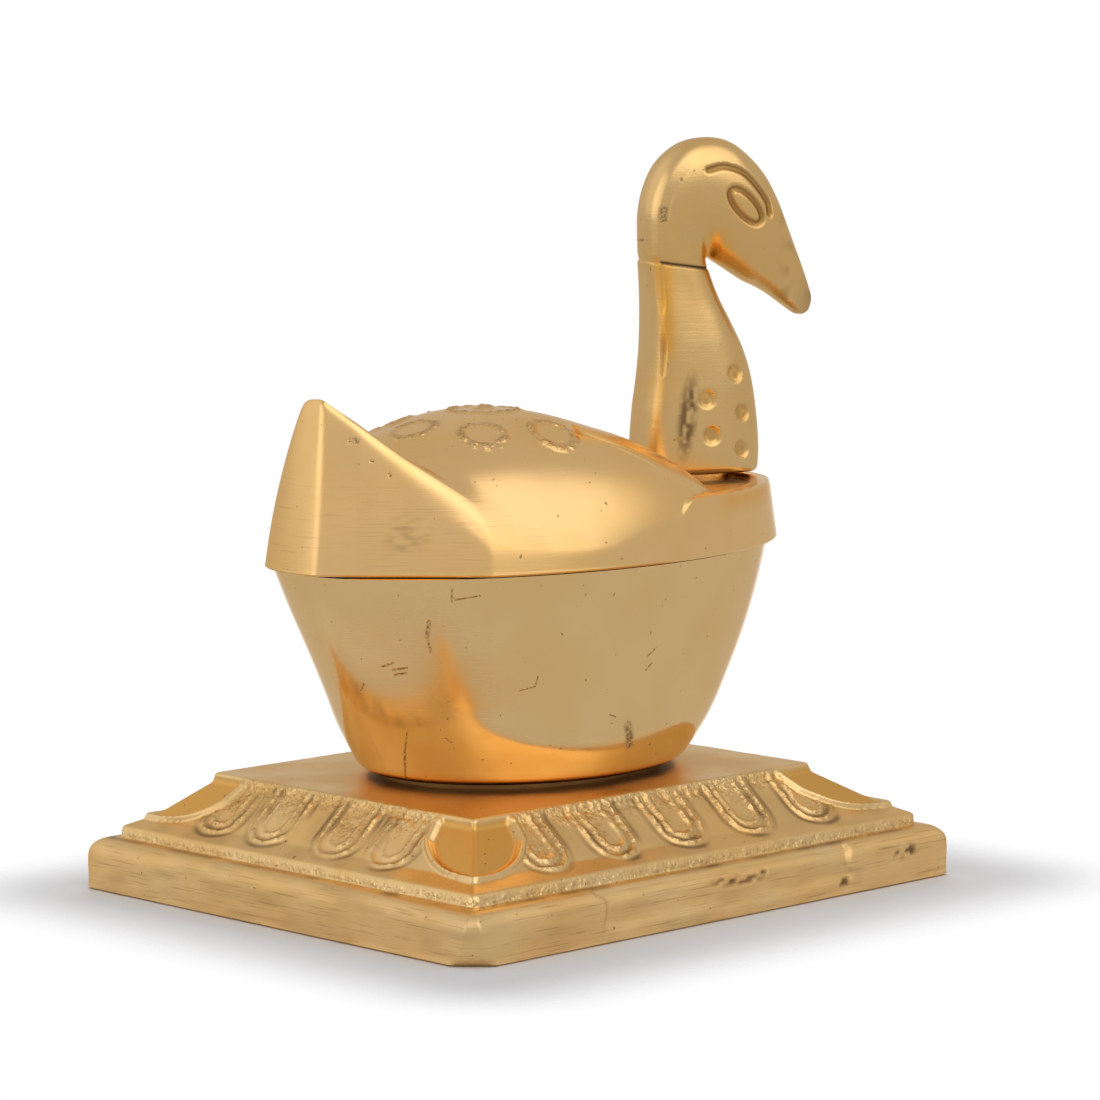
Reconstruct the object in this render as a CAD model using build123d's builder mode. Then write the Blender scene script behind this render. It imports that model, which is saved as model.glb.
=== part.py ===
from build123d import *
from math import cos, radians, sin, sqrt, tan
import os

# A cast brass box for kumkum powder, shaped as a swan that sits on a stepped lotus plinth.
# The bowl is the swan's body and the lid is its back. The lid swings level about a stud at
# the breast, and the neck stands on that stud and turns on it.
# Frame: +X is the way the body faces, +Z is up, and the origin is the middle of the plinth's
# underside. Lengths are millimetres and angles are degrees.

os.makedirs("parts", exist_ok=True)

# Plinth
PLINTH_LENGTH = 80.0
PLINTH_WIDTH = 67.0
PLINTH_HEIGHT = 14.0
PLINTH_CORNER_R = 3.0
SLAB_HEIGHT = 6.2
SLAB_ROUND = 2.4
LEDGE = 2.8
BEAD_HEIGHT = 2.4
BEAD_ROUND = 1.9
FRIEZE_SETBACK = 2.6
TOP_LENGTH = 52.6
TOP_WIDTH = 44.3
PLINTH_WALL = 5.0
PLINTH_PLATE = 3.4

# Bowl, from its seat on the plinth to the seam with the lid
BOWL_HEIGHT = 26.0
FOOT_LENGTH = 43.6
FOOT_WIDTH = 35.2
FOOT_ROUND = 1.2
BELLY_LENGTH = 59.6
BELLY_WIDTH = 39.4
BELLY_LIFT = 12.8
RIM_LENGTH = 70.4
RIM_WIDTH = 43.0
BODY_SHIFT = 0.4
BOWL_WALL = 2.2
BOWL_FLOOR = 3.2
PAD_INSET = 2.6
PAD_HEIGHT = 0.7

# Lid
SEAM_GAP = 0.15
LID_OVERHANG = 0.8
BOW_OVERHANG = 0.5
WALL_LEAN = 9.0
COLLAR_HEIGHT = 7.0
COLLAR_RIM = 2.0
PLATFORM_DROP = 0.6
WING_SHOULDER = 4.0
DOME_HEIGHT = 17.2
DOME_CROWN_X = -5.0
DOME_REACH = 27.9
WING_EDGE_X = 10.0
WING_STEP = 1.1
TAIL_HEIGHT = 19.6
TAIL_SLOPE = 48.0
TAIL_TIP_WIDTH = 3.6
LID_WALL = 2.4

# Pivot stud and its washer
STUD_X = 29.5
STUD_D = 4.0
STUD_IN_BOWL = 6.6
STUD_IN_NECK = 11.0
STUD_BOSS_D = 10.0
STUD_BOSS_DEPTH = 8.0
WASHER_D = 9.0
WASHER_THICKNESS = 0.8
RUNNING_CLEARANCE = 0.08
THREAD_CLEARANCE = 0.02
NECK_LIFT = 0.1
NECK_SWEEP_CLEARANCE = 1.4

# Neck and head, in their own upright plane that is turned about the stud
NECK_TURN = -25.0
NECK_FOOT_DEPTH = 16.4
NECK_FOOT_WIDTH = 10.6
NECK_BREAST_DEPTH = 15.4
NECK_BREAST_WIDTH = 9.8
NECK_BREAST_LIFT = 9.1
NECK_WAIST_DEPTH = 11.6
NECK_WAIST_WIDTH = 8.0
NECK_WAIST_LIFT = 18.1
NECK_WAIST_BACK = 0.6
NECK_TOP_DEPTH = 8.4
NECK_TOP_WIDTH = 7.0
NECK_TOP_LIFT = 25.4
NECK_TOP_BACK = 2.3
NAPE_LIFT = 32.6
JOINT_TILT = 7.5
SECTION_FULLNESS = 2.5
HEAD_LENGTH = 25.6
HEAD_HEIGHT = 11.6
HEAD_FLATNESS = 0.78
HEAD_PITCH = 52.0
HEAD_FORWARD = 15.2
HEAD_DROP = 12.6
BILL_TIP_R = 1.3
NAPE_SWEEP = 112.0
DOWEL_D = 2.4
DOWEL_LENGTH = 9.0
DOWEL_CLEARANCE = 0.02

# Foot fastening inside the hollow plinth
FOOT_STUD_D = 5.0
FOOT_STUD_GRIP = 5.2
FOOT_BOSS_D = 11.0
FOOT_BOSS_RISE = 4.0
FOOT_HOLE_CLEARANCE = 0.25
FOOT_WASHER_D = 14.0
FOOT_WASHER_THICKNESS = 1.2
NUT_ACROSS_FLATS = 8.0
NUT_HEIGHT = 3.6
STUD_TAIL = 1.0

# Heights that the pieces share
FOOT_Z = PLINTH_HEIGHT + PAD_HEIGHT
SEAM_Z = PLINTH_HEIGHT + BOWL_HEIGHT
LID_Z = SEAM_Z + SEAM_GAP
RIM_TOP_Z = LID_Z + COLLAR_HEIGHT
PLATFORM_Z = RIM_TOP_Z - PLATFORM_DROP
NECK_Z = PLATFORM_Z + WASHER_THICKNESS + NECK_LIFT
PLATE_Z = PLINTH_HEIGHT - PLINTH_PLATE

# Plan of the lid
LID_LENGTH = RIM_LENGTH + 2 * LID_OVERHANG + BOW_OVERHANG
LID_WIDTH = RIM_WIDTH + 2 * LID_OVERHANG
LID_SHIFT = BODY_SHIFT + BOW_OVERHANG / 2
STERN_X = LID_SHIFT - LID_LENGTH / 2
WALL_SLOPE = tan(radians(WALL_LEAN))
TAIL_LEAN = TAIL_HEIGHT * WALL_SLOPE
PEAK_X = STERN_X + TAIL_LEAN


def lid_half_width(x, rise=0.0):
    """Half the width of the lid's leaning wall at a place along the body and a rise above the seam."""
    half_length = LID_LENGTH / 2 - WALL_SLOPE * rise
    half_width = LID_WIDTH / 2 - WALL_SLOPE * rise
    return half_width * sqrt(max(0.0, 1 - ((x - LID_SHIFT) / half_length) ** 2))


def dome_height(x):
    """Height of the back's crown above the seam at a place along the body."""
    return DOME_HEIGHT * sqrt(max(0.0, 1 - ((x - DOME_CROWN_X) / DOME_REACH) ** 2))


def arch_sketch(x, foot_half, side_half, side, crown):
    """Upright section across the lid: leaning sides under half an ellipse."""
    with BuildSketch(Plane(origin=(x, 0, LID_Z), x_dir=(0, 1, 0), z_dir=(1, 0, 0))) as arch:
        with BuildLine():
            Line((-foot_half, 0), (foot_half, 0))
            Line((foot_half, 0), (side_half, side))
            EllipticalCenterArc((0, side), side_half, crown - side, arc_size=180)
            Line((-side_half, side), (-foot_half, 0))
        make_face()
    return arch.sketch


# Plinth: filed slab, bead and sloping frieze, hollow from below
BEAD_LENGTH = PLINTH_LENGTH - 2 * LEDGE
BEAD_WIDTH = PLINTH_WIDTH - 2 * LEDGE
FRIEZE_LENGTH = BEAD_LENGTH - 2 * FRIEZE_SETBACK
FRIEZE_WIDTH = BEAD_WIDTH - 2 * FRIEZE_SETBACK
FRIEZE_Z = SLAB_HEIGHT + BEAD_HEIGHT
PLINTH_STEPS = (
    (PLINTH_LENGTH, PLINTH_WIDTH, 0, SLAB_HEIGHT, SLAB_ROUND),
    (BEAD_LENGTH, BEAD_WIDTH, SLAB_HEIGHT, BEAD_HEIGHT, BEAD_ROUND),
)
with BuildPart() as plinth:
    for length, width, base_z, height, edge_round in PLINTH_STEPS:
        with BuildSketch(Plane.XY.offset(base_z)):
            RectangleRounded(length, width, PLINTH_CORNER_R)
        extrude(amount=height)
        top_edges = plinth.faces().sort_by(Axis.Z)[-1].edges()
        fillet(top_edges, min(edge_round, 0.85 * PLINTH_CORNER_R, 0.85 * height))
    with BuildSketch(Plane.XY.offset(FRIEZE_Z)):
        Rectangle(FRIEZE_LENGTH, FRIEZE_WIDTH)
    with BuildSketch(Plane.XY.offset(PLINTH_HEIGHT)):
        Rectangle(TOP_LENGTH, TOP_WIDTH)
    loft(ruled=True)
    with BuildSketch(Plane.XY):
        Rectangle(PLINTH_LENGTH - 2 * PLINTH_WALL, PLINTH_WIDTH - 2 * PLINTH_WALL)
    with BuildSketch(Plane.XY.offset(PLATE_Z)):
        Rectangle(TOP_LENGTH - PLINTH_PLATE, TOP_WIDTH - PLINTH_PLATE)
    loft(ruled=True, mode=Mode.SUBTRACT)
    with BuildSketch(Plane.XY.offset(PLATE_Z)):
        Circle(FOOT_STUD_D / 2 + FOOT_HOLE_CLEARANCE)
    extrude(amount=PLINTH_PLATE, mode=Mode.SUBTRACT)
plinth.part.label = "plinth"
export_step(plinth.part, "parts/plinth.step")

# Outer form of the bowl, which also trims the boss inside it
with BuildPart() as bowl_form:
    with BuildSketch(Plane.XY.offset(FOOT_Z)):
        Ellipse(FOOT_LENGTH / 2, FOOT_WIDTH / 2)
    with BuildSketch(Plane.XY.offset(FOOT_Z + BELLY_LIFT)):
        with Locations((BODY_SHIFT / 2, 0)):
            Ellipse(BELLY_LENGTH / 2, BELLY_WIDTH / 2)
    with BuildSketch(Plane.XY.offset(SEAM_Z)):
        with Locations((BODY_SHIFT, 0)):
            Ellipse(RIM_LENGTH / 2, RIM_WIDTH / 2)
    loft()
    foot_edges = bowl_form.faces().sort_by(Axis.Z)[0].edges()
    fillet(foot_edges, FOOT_ROUND)

# Boss at the breast that holds the pivot stud, trimmed to the bowl's outside
with BuildPart() as pivot_boss:
    with BuildSketch(Plane.XY.offset(SEAM_Z - STUD_BOSS_DEPTH)):
        with Locations((STUD_X, 0)):
            Circle(STUD_BOSS_D / 2)
    extrude(amount=STUD_BOSS_DEPTH)
    add(bowl_form.part, mode=Mode.INTERSECT)

# Bowl: hollow body on a seat pad, with a boss for each stud
FLOOR_Z = FOOT_Z + BOWL_FLOOR
BOSS_TOP_Z = FLOOR_Z + FOOT_BOSS_RISE
FOOT_STUD_TOP_Z = FOOT_Z + FOOT_STUD_GRIP
with BuildPart() as bowl:
    add(bowl_form.part)
    with BuildSketch(Plane.XY.offset(FLOOR_Z)):
        Ellipse(FOOT_LENGTH / 2 - BOWL_WALL, FOOT_WIDTH / 2 - BOWL_WALL)
    with BuildSketch(Plane.XY.offset(FOOT_Z + BELLY_LIFT)):
        with Locations((BODY_SHIFT / 2, 0)):
            Ellipse(BELLY_LENGTH / 2 - BOWL_WALL, BELLY_WIDTH / 2 - BOWL_WALL)
    with BuildSketch(Plane.XY.offset(SEAM_Z)):
        with Locations((BODY_SHIFT, 0)):
            Ellipse(RIM_LENGTH / 2 - BOWL_WALL, RIM_WIDTH / 2 - BOWL_WALL)
    loft(mode=Mode.SUBTRACT)
    add(pivot_boss.part)
    with BuildSketch(Plane.XY.offset(FOOT_Z + BOWL_FLOOR / 2)):
        Circle(FOOT_BOSS_D / 2)
    extrude(amount=BOSS_TOP_Z - FOOT_Z - BOWL_FLOOR / 2)
    with BuildSketch(Plane.XY.offset(PLINTH_HEIGHT)):
        Ellipse(FOOT_LENGTH / 2 - PAD_INSET, FOOT_WIDTH / 2 - PAD_INSET)
    extrude(amount=PAD_HEIGHT + BOWL_FLOOR / 2)
    with BuildSketch(Plane.XY.offset(PLINTH_HEIGHT)):
        Circle(FOOT_STUD_D / 2 + THREAD_CLEARANCE)
    extrude(amount=FOOT_STUD_TOP_Z - PLINTH_HEIGHT, mode=Mode.SUBTRACT)
    with BuildSketch(Plane.XY.offset(SEAM_Z - STUD_IN_BOWL)):
        with Locations((STUD_X, 0)):
            Circle(STUD_D / 2 + THREAD_CLEARANCE)
    extrude(amount=STUD_IN_BOWL, mode=Mode.SUBTRACT)
bowl.part.label = "bowl"
export_step(bowl.part, "parts/bowl.step")

# Leaning oval wall that the tail and the collar are both cut from
with BuildPart() as wall_form:
    with BuildSketch(Plane.XY.offset(LID_Z)):
        with Locations((LID_SHIFT, 0)):
            Ellipse(LID_LENGTH / 2, LID_WIDTH / 2)
    with BuildSketch(Plane.XY.offset(LID_Z + TAIL_HEIGHT)):
        with Locations((LID_SHIFT, 0)):
            Ellipse(LID_LENGTH / 2 - TAIL_LEAN, LID_WIDTH / 2 - TAIL_LEAN)
    loft(ruled=True)

# Upturned tail: the wall under a plane that falls from the peak towards the neck,
# with a narrow flat down the stern
STERN_FLAT_INSET = LID_LENGTH / 2 * (1 - sqrt(1 - (TAIL_TIP_WIDTH / LID_WIDTH) ** 2))
slope_plane = Plane(
    origin=(PEAK_X + STERN_FLAT_INSET, 0, LID_Z + TAIL_HEIGHT),
    z_dir=(sin(radians(TAIL_SLOPE)), 0, cos(radians(TAIL_SLOPE))),
)
stern_plane = Plane(
    origin=(STERN_X + STERN_FLAT_INSET, 0, LID_Z),
    z_dir=(-cos(radians(WALL_LEAN)), 0, sin(radians(WALL_LEAN))),
)
with BuildPart() as tail_form:
    add(wall_form.part)
    split(bisect_by=slope_plane, keep=Keep.BOTTOM)
    split(bisect_by=stern_plane, keep=Keep.BOTTOM)

# Collar at the breast: the wall in front of the wing edges, up to the rim round the platform
with BuildPart() as collar_form:
    add(wall_form.part)
    split(bisect_by=Plane.XY.offset(RIM_TOP_Z), keep=Keep.BOTTOM)
    split(bisect_by=Plane.YZ.offset(WING_EDGE_X), keep=Keep.TOP)

# Lid: domed back with folded wings, tail, and a collar with a sunk platform for the neck
DOME_REAR_X = STERN_X + LID_LENGTH / 10
DOME_STATIONS = (DOME_REAR_X, (DOME_REAR_X + DOME_CROWN_X) / 2, DOME_CROWN_X, WING_EDGE_X)
NECK_SWEEP_R = NECK_FOOT_DEPTH / 2 + NECK_SWEEP_CLEARANCE
COLLAR_INSET = COLLAR_RIM + WALL_SLOPE * COLLAR_HEIGHT
SHOULDER_END_X = STUD_X - NECK_SWEEP_R
SHOULDER_MID_X = (WING_EDGE_X + SHOULDER_END_X) / 2
PLATFORM_RISE = PLATFORM_Z - LID_Z
SHOULDER_STATIONS = ((WING_EDGE_X, 1.0), (SHOULDER_MID_X, 0.84), (SHOULDER_END_X, 0.5))
HOLLOW_STATIONS = (DOME_REAR_X + 2 * LID_WALL, DOME_CROWN_X, WING_EDGE_X - LID_WALL)


def dome_arch(x):
    """Section of the back with its folded wings."""
    return arch_sketch(x, lid_half_width(x), lid_half_width(x, WING_SHOULDER), WING_SHOULDER, dome_height(x))


def shoulder_arch(x, share):
    """Section of the lower shoulder that runs from the wing edges to the neck."""
    half_width = share * (lid_half_width(WING_EDGE_X) - 2 * COLLAR_RIM)
    crown = max(PLATFORM_RISE, dome_height(x) - WING_STEP)
    return arch_sketch(x, half_width, half_width, PLATFORM_RISE / 2, crown)


def hollow_arch(x):
    """Section of the hollow under the back."""
    side = WING_SHOULDER / 2
    foot_half = lid_half_width(x) - LID_WALL
    return arch_sketch(x, foot_half, lid_half_width(x, side) - LID_WALL, side, dome_height(x) - LID_WALL)


with BuildPart() as lid:
    loft([dome_arch(station) for station in DOME_STATIONS])
    add(tail_form.part)
    add(collar_form.part)
    with BuildSketch(Plane.XY.offset(PLATFORM_Z)):
        with Locations((LID_SHIFT, 0)):
            Ellipse(LID_LENGTH / 2 - COLLAR_INSET, LID_WIDTH / 2 - COLLAR_INSET)
        with Locations((STERN_X, 0)):
            Rectangle(2 * (WING_EDGE_X - STERN_X), 2 * LID_WIDTH, mode=Mode.SUBTRACT)
    extrude(amount=DOME_HEIGHT, mode=Mode.SUBTRACT)
    loft([shoulder_arch(station, share) for station, share in SHOULDER_STATIONS])
    with BuildSketch(Plane.XY.offset(PLATFORM_Z)):
        with Locations((STUD_X, 0)):
            Circle(NECK_SWEEP_R)
    extrude(amount=DOME_HEIGHT, mode=Mode.SUBTRACT)
    loft([hollow_arch(station) for station in HOLLOW_STATIONS], mode=Mode.SUBTRACT)
    with BuildSketch(Plane.XY.offset(LID_Z)):
        with Locations((STUD_X, 0)):
            Circle(STUD_D / 2 + RUNNING_CLEARANCE)
    extrude(amount=COLLAR_HEIGHT, mode=Mode.SUBTRACT)
lid.part.label = "lid"
export_step(lid.part, "parts/lid.step")

# Neck washer, which rests on the lid's platform under the neck
with BuildPart() as neck_washer:
    with BuildSketch(Plane.XY.offset(PLATFORM_Z)):
        with Locations((STUD_X, 0)):
            Circle(WASHER_D / 2)
            Circle(STUD_D / 2 + RUNNING_CLEARANCE, mode=Mode.SUBTRACT)
    extrude(amount=WASHER_THICKNESS)
neck_washer.part.label = "neck_washer"
export_step(neck_washer.part, "parts/neck_washer.step")

# Pivot stud, screwed into the bowl's boss and standing up into the neck
with BuildPart() as pivot_stud:
    with BuildSketch(Plane.XY.offset(SEAM_Z - STUD_IN_BOWL)):
        with Locations((STUD_X, 0)):
            Circle(STUD_D / 2)
    extrude(amount=STUD_IN_BOWL + NECK_Z + STUD_IN_NECK - SEAM_Z)
    chamfer(pivot_stud.edges().filter_by(GeomType.CIRCLE), STUD_D / 10)
pivot_stud.part.label = "pivot_stud"
export_step(pivot_stud.part, "parts/pivot_stud.step")

# The neck's own frame: forward, sideways and up from the foot of the stud
NECK_FORWARD = Vector(cos(radians(NECK_TURN)), sin(radians(NECK_TURN)), 0)
NECK_SIDE = Vector(-sin(radians(NECK_TURN)), cos(radians(NECK_TURN)), 0)


def neck_point(forward, up):
    """Place in the neck's upright middle plane, up from the neck's foot."""
    return Vector(STUD_X, 0, NECK_Z + up) + NECK_FORWARD * forward


def neck_section(forward, up, depth, width):
    """Level section of the neck: a rounded oval, fuller than an ellipse."""
    fullness = 2 / SECTION_FULLNESS
    ring = []
    for step in range(16):
        angle = radians(22.5 * step)
        along = depth / 2 * abs(cos(angle)) ** fullness * (1 if cos(angle) > 0 else -1)
        across = width / 2 * abs(sin(angle)) ** fullness * (1 if sin(angle) > 0 else -1)
        ring.append((along, across))
    with BuildSketch(Plane(neck_point(forward, up), x_dir=NECK_FORWARD, z_dir=(0, 0, 1))) as oval:
        with BuildLine():
            Spline(*ring, periodic=True)
        make_face()
    return oval.sketch


# Whole column from the neck's foot to the nape, before the joint parts it
NECK_SECTIONS = [
    neck_section(0, 0, NECK_FOOT_DEPTH, NECK_FOOT_WIDTH),
    neck_section(0, NECK_BREAST_LIFT, NECK_BREAST_DEPTH, NECK_BREAST_WIDTH),
    neck_section(-NECK_WAIST_BACK, NECK_WAIST_LIFT, NECK_WAIST_DEPTH, NECK_WAIST_WIDTH),
    neck_section(-NECK_TOP_BACK, NECK_TOP_LIFT, NECK_TOP_DEPTH, NECK_TOP_WIDTH),
    neck_section(-NECK_TOP_BACK, NAPE_LIFT, NECK_TOP_DEPTH, NECK_TOP_WIDTH),
]


joint_plane = Plane(
    neck_point(-NECK_TOP_BACK, NECK_TOP_LIFT),
    x_dir=NECK_SIDE,
    z_dir=NECK_FORWARD * sin(radians(JOINT_TILT)) + Vector(0, 0, cos(radians(JOINT_TILT))),
)
dowel_plane = Plane(neck_point(-NECK_TOP_BACK, NECK_TOP_LIFT), x_dir=NECK_FORWARD, z_dir=(0, 0, 1))

# Neck, bored for the stud from below and for the dowel from above
with BuildPart() as neck:
    loft(NECK_SECTIONS)
    split(bisect_by=joint_plane, keep=Keep.BOTTOM)
    with BuildSketch(Plane.XY.offset(NECK_Z)):
        with Locations((STUD_X, 0)):
            Circle(STUD_D / 2 + RUNNING_CLEARANCE)
    extrude(amount=STUD_IN_NECK + STUD_D / 10, mode=Mode.SUBTRACT)
    with BuildSketch(dowel_plane):
        Circle(DOWEL_D / 2 + DOWEL_CLEARANCE)
    extrude(amount=DOWEL_LENGTH / 2, both=True, mode=Mode.SUBTRACT)
neck.part.label = "neck"
export_step(neck.part, "parts/neck.step")

# Dowel that lines the head up on the neck under the brazed joint
with BuildPart() as head_dowel:
    with BuildSketch(dowel_plane):
        Circle(DOWEL_D / 2)
    extrude(amount=DOWEL_LENGTH / 2, both=True)
head_dowel.part.label = "head_dowel"
export_step(head_dowel.part, "parts/head_dowel.step")

# Skull and bill as a turned form along its own axis, flattened from side to side
SKULL_X = 0.42 * HEAD_LENGTH
CROWN_X = 0.1 * HEAD_LENGTH
CROWN_R = 0.37 * HEAD_HEIGHT
CHEEK_X = 0.72 * HEAD_LENGTH
CHEEK_R = 0.32 * HEAD_HEIGHT
BILL_END_X = HEAD_LENGTH - BILL_TIP_R
with BuildPart() as skull_form:
    with BuildSketch(Plane.XZ):
        with BuildLine():
            Spline((0, 0), (CROWN_X, CROWN_R), (SKULL_X, HEAD_HEIGHT / 2), tangents=((0, 1), (1, 0)))
            Spline(
                (SKULL_X, HEAD_HEIGHT / 2),
                (CHEEK_X, CHEEK_R),
                (BILL_END_X, BILL_TIP_R),
                tangents=((1, 0), (HEAD_LENGTH - SKULL_X, -HEAD_HEIGHT / 2)),
            )
            RadiusArc((BILL_END_X, BILL_TIP_R), (HEAD_LENGTH, 0), BILL_TIP_R)
            Line((HEAD_LENGTH, 0), (0, 0))
        make_face()
    revolve(axis=Axis.X)
    scale(by=(1, HEAD_FLATNESS, 1))

bill_direction = NECK_FORWARD * cos(radians(HEAD_PITCH)) - Vector(0, 0, sin(radians(HEAD_PITCH)))
bill_tip = neck_point(HEAD_FORWARD, NAPE_LIFT - HEAD_DROP)
skull_plane = Plane(
    bill_tip - bill_direction * HEAD_LENGTH,
    x_dir=bill_direction,
    z_dir=NECK_FORWARD * sin(radians(HEAD_PITCH)) + Vector(0, 0, cos(radians(HEAD_PITCH))),
)
skull = skull_form.part.moved(skull_plane.location)

# Head: top of the neck, nape bent over the throat, skull and bill
nape_axis = Axis(neck_point(NECK_TOP_DEPTH / 2 - NECK_TOP_BACK, NAPE_LIFT), NECK_SIDE)
with BuildPart() as head:
    loft(NECK_SECTIONS)
    split(bisect_by=joint_plane, keep=Keep.TOP)
    revolve(NECK_SECTIONS[-1], axis=nape_axis, revolution_arc=NAPE_SWEEP)
    add(skull)
    with BuildSketch(dowel_plane):
        Circle(DOWEL_D / 2 + DOWEL_CLEARANCE)
    extrude(amount=DOWEL_LENGTH / 2, both=True, mode=Mode.SUBTRACT)
head.part.label = "head"
export_step(head.part, "parts/head.step")

# Foot stud, washer and nut that draw the bowl down on the plinth
FOOT_WASHER_Z = PLATE_Z - FOOT_WASHER_THICKNESS
NUT_Z = FOOT_WASHER_Z - NUT_HEIGHT
with BuildPart() as foot_stud:
    with BuildSketch(Plane.XY.offset(NUT_Z - STUD_TAIL)):
        Circle(FOOT_STUD_D / 2)
    extrude(amount=FOOT_STUD_TOP_Z - NUT_Z + STUD_TAIL)
    chamfer(foot_stud.edges().filter_by(GeomType.CIRCLE), FOOT_STUD_D / 12)
foot_stud.part.label = "foot_stud"
export_step(foot_stud.part, "parts/foot_stud.step")

with BuildPart() as foot_washer:
    with BuildSketch(Plane.XY.offset(FOOT_WASHER_Z)):
        Circle(FOOT_WASHER_D / 2)
        Circle(FOOT_STUD_D / 2 + FOOT_HOLE_CLEARANCE, mode=Mode.SUBTRACT)
    extrude(amount=FOOT_WASHER_THICKNESS)
foot_washer.part.label = "foot_washer"
export_step(foot_washer.part, "parts/foot_washer.step")

with BuildPart() as foot_nut:
    with BuildSketch(Plane.XY.offset(NUT_Z)):
        RegularPolygon(NUT_ACROSS_FLATS / 2, 6, major_radius=False)
        Circle(FOOT_STUD_D / 2 + THREAD_CLEARANCE, mode=Mode.SUBTRACT)
    extrude(amount=NUT_HEIGHT)
foot_nut.part.label = "foot_nut"
export_step(foot_nut.part, "parts/foot_nut.step")
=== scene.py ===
"""Looks of a cast brass kumkum box, a swan on a lotus plinth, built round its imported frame.

Meshes are drafted in millimetres in the frame's own axes: +X is the way the body faces and +Z is up.
"""

import logging
import math
from dataclasses import dataclass, field
from enum import Enum

import bmesh
import bpy
import numpy as np
from mathutils import Matrix, Vector

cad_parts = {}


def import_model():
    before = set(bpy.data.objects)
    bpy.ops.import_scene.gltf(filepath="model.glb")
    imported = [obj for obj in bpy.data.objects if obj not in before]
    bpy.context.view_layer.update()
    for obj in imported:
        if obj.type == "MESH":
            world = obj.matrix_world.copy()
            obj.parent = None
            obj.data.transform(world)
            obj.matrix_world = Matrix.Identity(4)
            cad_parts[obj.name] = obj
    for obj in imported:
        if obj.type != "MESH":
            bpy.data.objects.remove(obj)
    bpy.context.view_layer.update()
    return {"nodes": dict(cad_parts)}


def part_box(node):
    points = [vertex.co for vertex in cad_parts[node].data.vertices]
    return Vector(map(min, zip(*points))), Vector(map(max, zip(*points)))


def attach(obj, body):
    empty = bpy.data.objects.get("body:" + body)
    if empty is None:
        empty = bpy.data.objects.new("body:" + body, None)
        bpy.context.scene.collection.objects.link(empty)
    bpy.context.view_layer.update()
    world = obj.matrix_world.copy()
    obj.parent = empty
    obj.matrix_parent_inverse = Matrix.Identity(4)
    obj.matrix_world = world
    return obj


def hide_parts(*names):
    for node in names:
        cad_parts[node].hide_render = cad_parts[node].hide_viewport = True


Array = np.ndarray
Pair = tuple[float, float]
Colour = tuple[float, float, float]
Place = tuple[float, float, float]

MM = 0.001
GRAIN_SEED = 7
LOG = logging.getLogger("kumkum_box")


class Body(Enum):
    """Moving bodies of the frame."""

    BASE = "base"
    LID = "lid"
    NECK = "neck"


class Mark(Enum):
    """What a mesh says about its surface, point by point, to the finish."""

    # Painted reflection: a deep orange that stands for shade and for light bounced between brass faces, laid in
    # hollows, under the head and round the neck's foot.
    PAINTED_REFLECTION = "pooled"
    # Dark brown for real tarnish, pits, soot and dark joints, and also for painted shade in the gap under the bowl
    # and round the neck's foot.
    TARNISH_AND_SHADE = "tarnish"
    FILED = "filed"
    STIPPLED = "stippled"


def smooth_step(value: Array, low: float, high: float) -> Array:
    """Ease from 0 below low to 1 above high.

    Args:
        value: Numbers to ease.
        low: Where the ramp starts.
        high: Where the ramp ends.

    Returns:
        Shares from 0 to 1.
    """
    share = np.clip((np.asarray(value, float) - low) / (high - low), 0.0, 1.0)
    return share * share * (3.0 - 2.0 * share)


def smooth_min(first: Array, second: Array, blend: float) -> Array:
    """Lower of two heights, rounded over where they meet.

    Args:
        first: One height.
        second: The other height.
        blend: Height difference within which they are rounded together.

    Returns:
        The blended lower height.
    """
    share = np.clip(0.5 + 0.5 * (second - first) / blend, 0.0, 1.0)
    return second * (1 - share) + first * share - blend * share * (1 - share)


def smooth_max(first: Array, second: Array, blend: float) -> Array:
    """Upper of two heights, filleted where they meet.

    Args:
        first: One height.
        second: The other height.
        blend: Height difference within which they are filleted together.

    Returns:
        The blended upper height.
    """
    return -smooth_min(-first, -second, blend)


def bump(distance: Array, half_width: float) -> Array:
    """Rounded cord section: 1 on the line and 0 beyond the half width.

    Args:
        distance: Distance from the line.
        half_width: Half the cord's width.

    Returns:
        Share of the cord's height.
    """
    share = np.clip(1 - (distance / half_width) ** 2, 0.0, 1.0)
    return np.sqrt(share) * share


def unit_rows(vectors: Array) -> Array:
    """Vectors scaled to length 1."""
    return vectors / np.maximum(np.linalg.norm(vectors, axis=-1, keepdims=True), 1e-12)


def heading(turn: float, rise: float) -> Vector:
    """Direction at a turn from +X about +Z and a rise from level, both in radians."""
    return Vector((math.cos(turn) * math.cos(rise), math.sin(turn) * math.cos(rise), math.sin(rise)))


def curve_through(points: Array, shares: Array) -> Array:
    """Smooth curve through a few points.

    Args:
        points: Points in order, one row each.
        shares: Places along the curve, 0 at the first point and 1 at the last, evenly split by point.

    Returns:
        One row for each share.
    """
    points = np.asarray(points, float)
    slopes = np.gradient(points, axis=0)
    place = np.clip(np.asarray(shares, float), 0, 1) * (len(points) - 1)
    index = np.minimum(place.astype(int), len(points) - 2)
    part = (place - index)[:, None]
    start, end = points[index], points[index + 1]
    cube, square = part**3, part**2
    return (
        (2 * cube - 3 * square + 1) * start
        + (cube - 2 * square + part) * slopes[index]
        + (3 * square - 2 * cube) * end
        + (cube - square) * slopes[index + 1]
    )


def even_curve(points: Array, count: int) -> Array:
    """Points at even distances along a polyline.

    Args:
        points: The polyline, one row each.
        count: How many points to return.

    Returns:
        The evenly spaced points, ends included.
    """
    steps = np.linalg.norm(np.diff(points, axis=0), axis=1)
    along = np.concatenate([[0.0], np.cumsum(steps)])
    wanted = np.linspace(0, along[-1], count)
    return np.stack([np.interp(wanted, along, column) for column in points.T], axis=-1)


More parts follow.
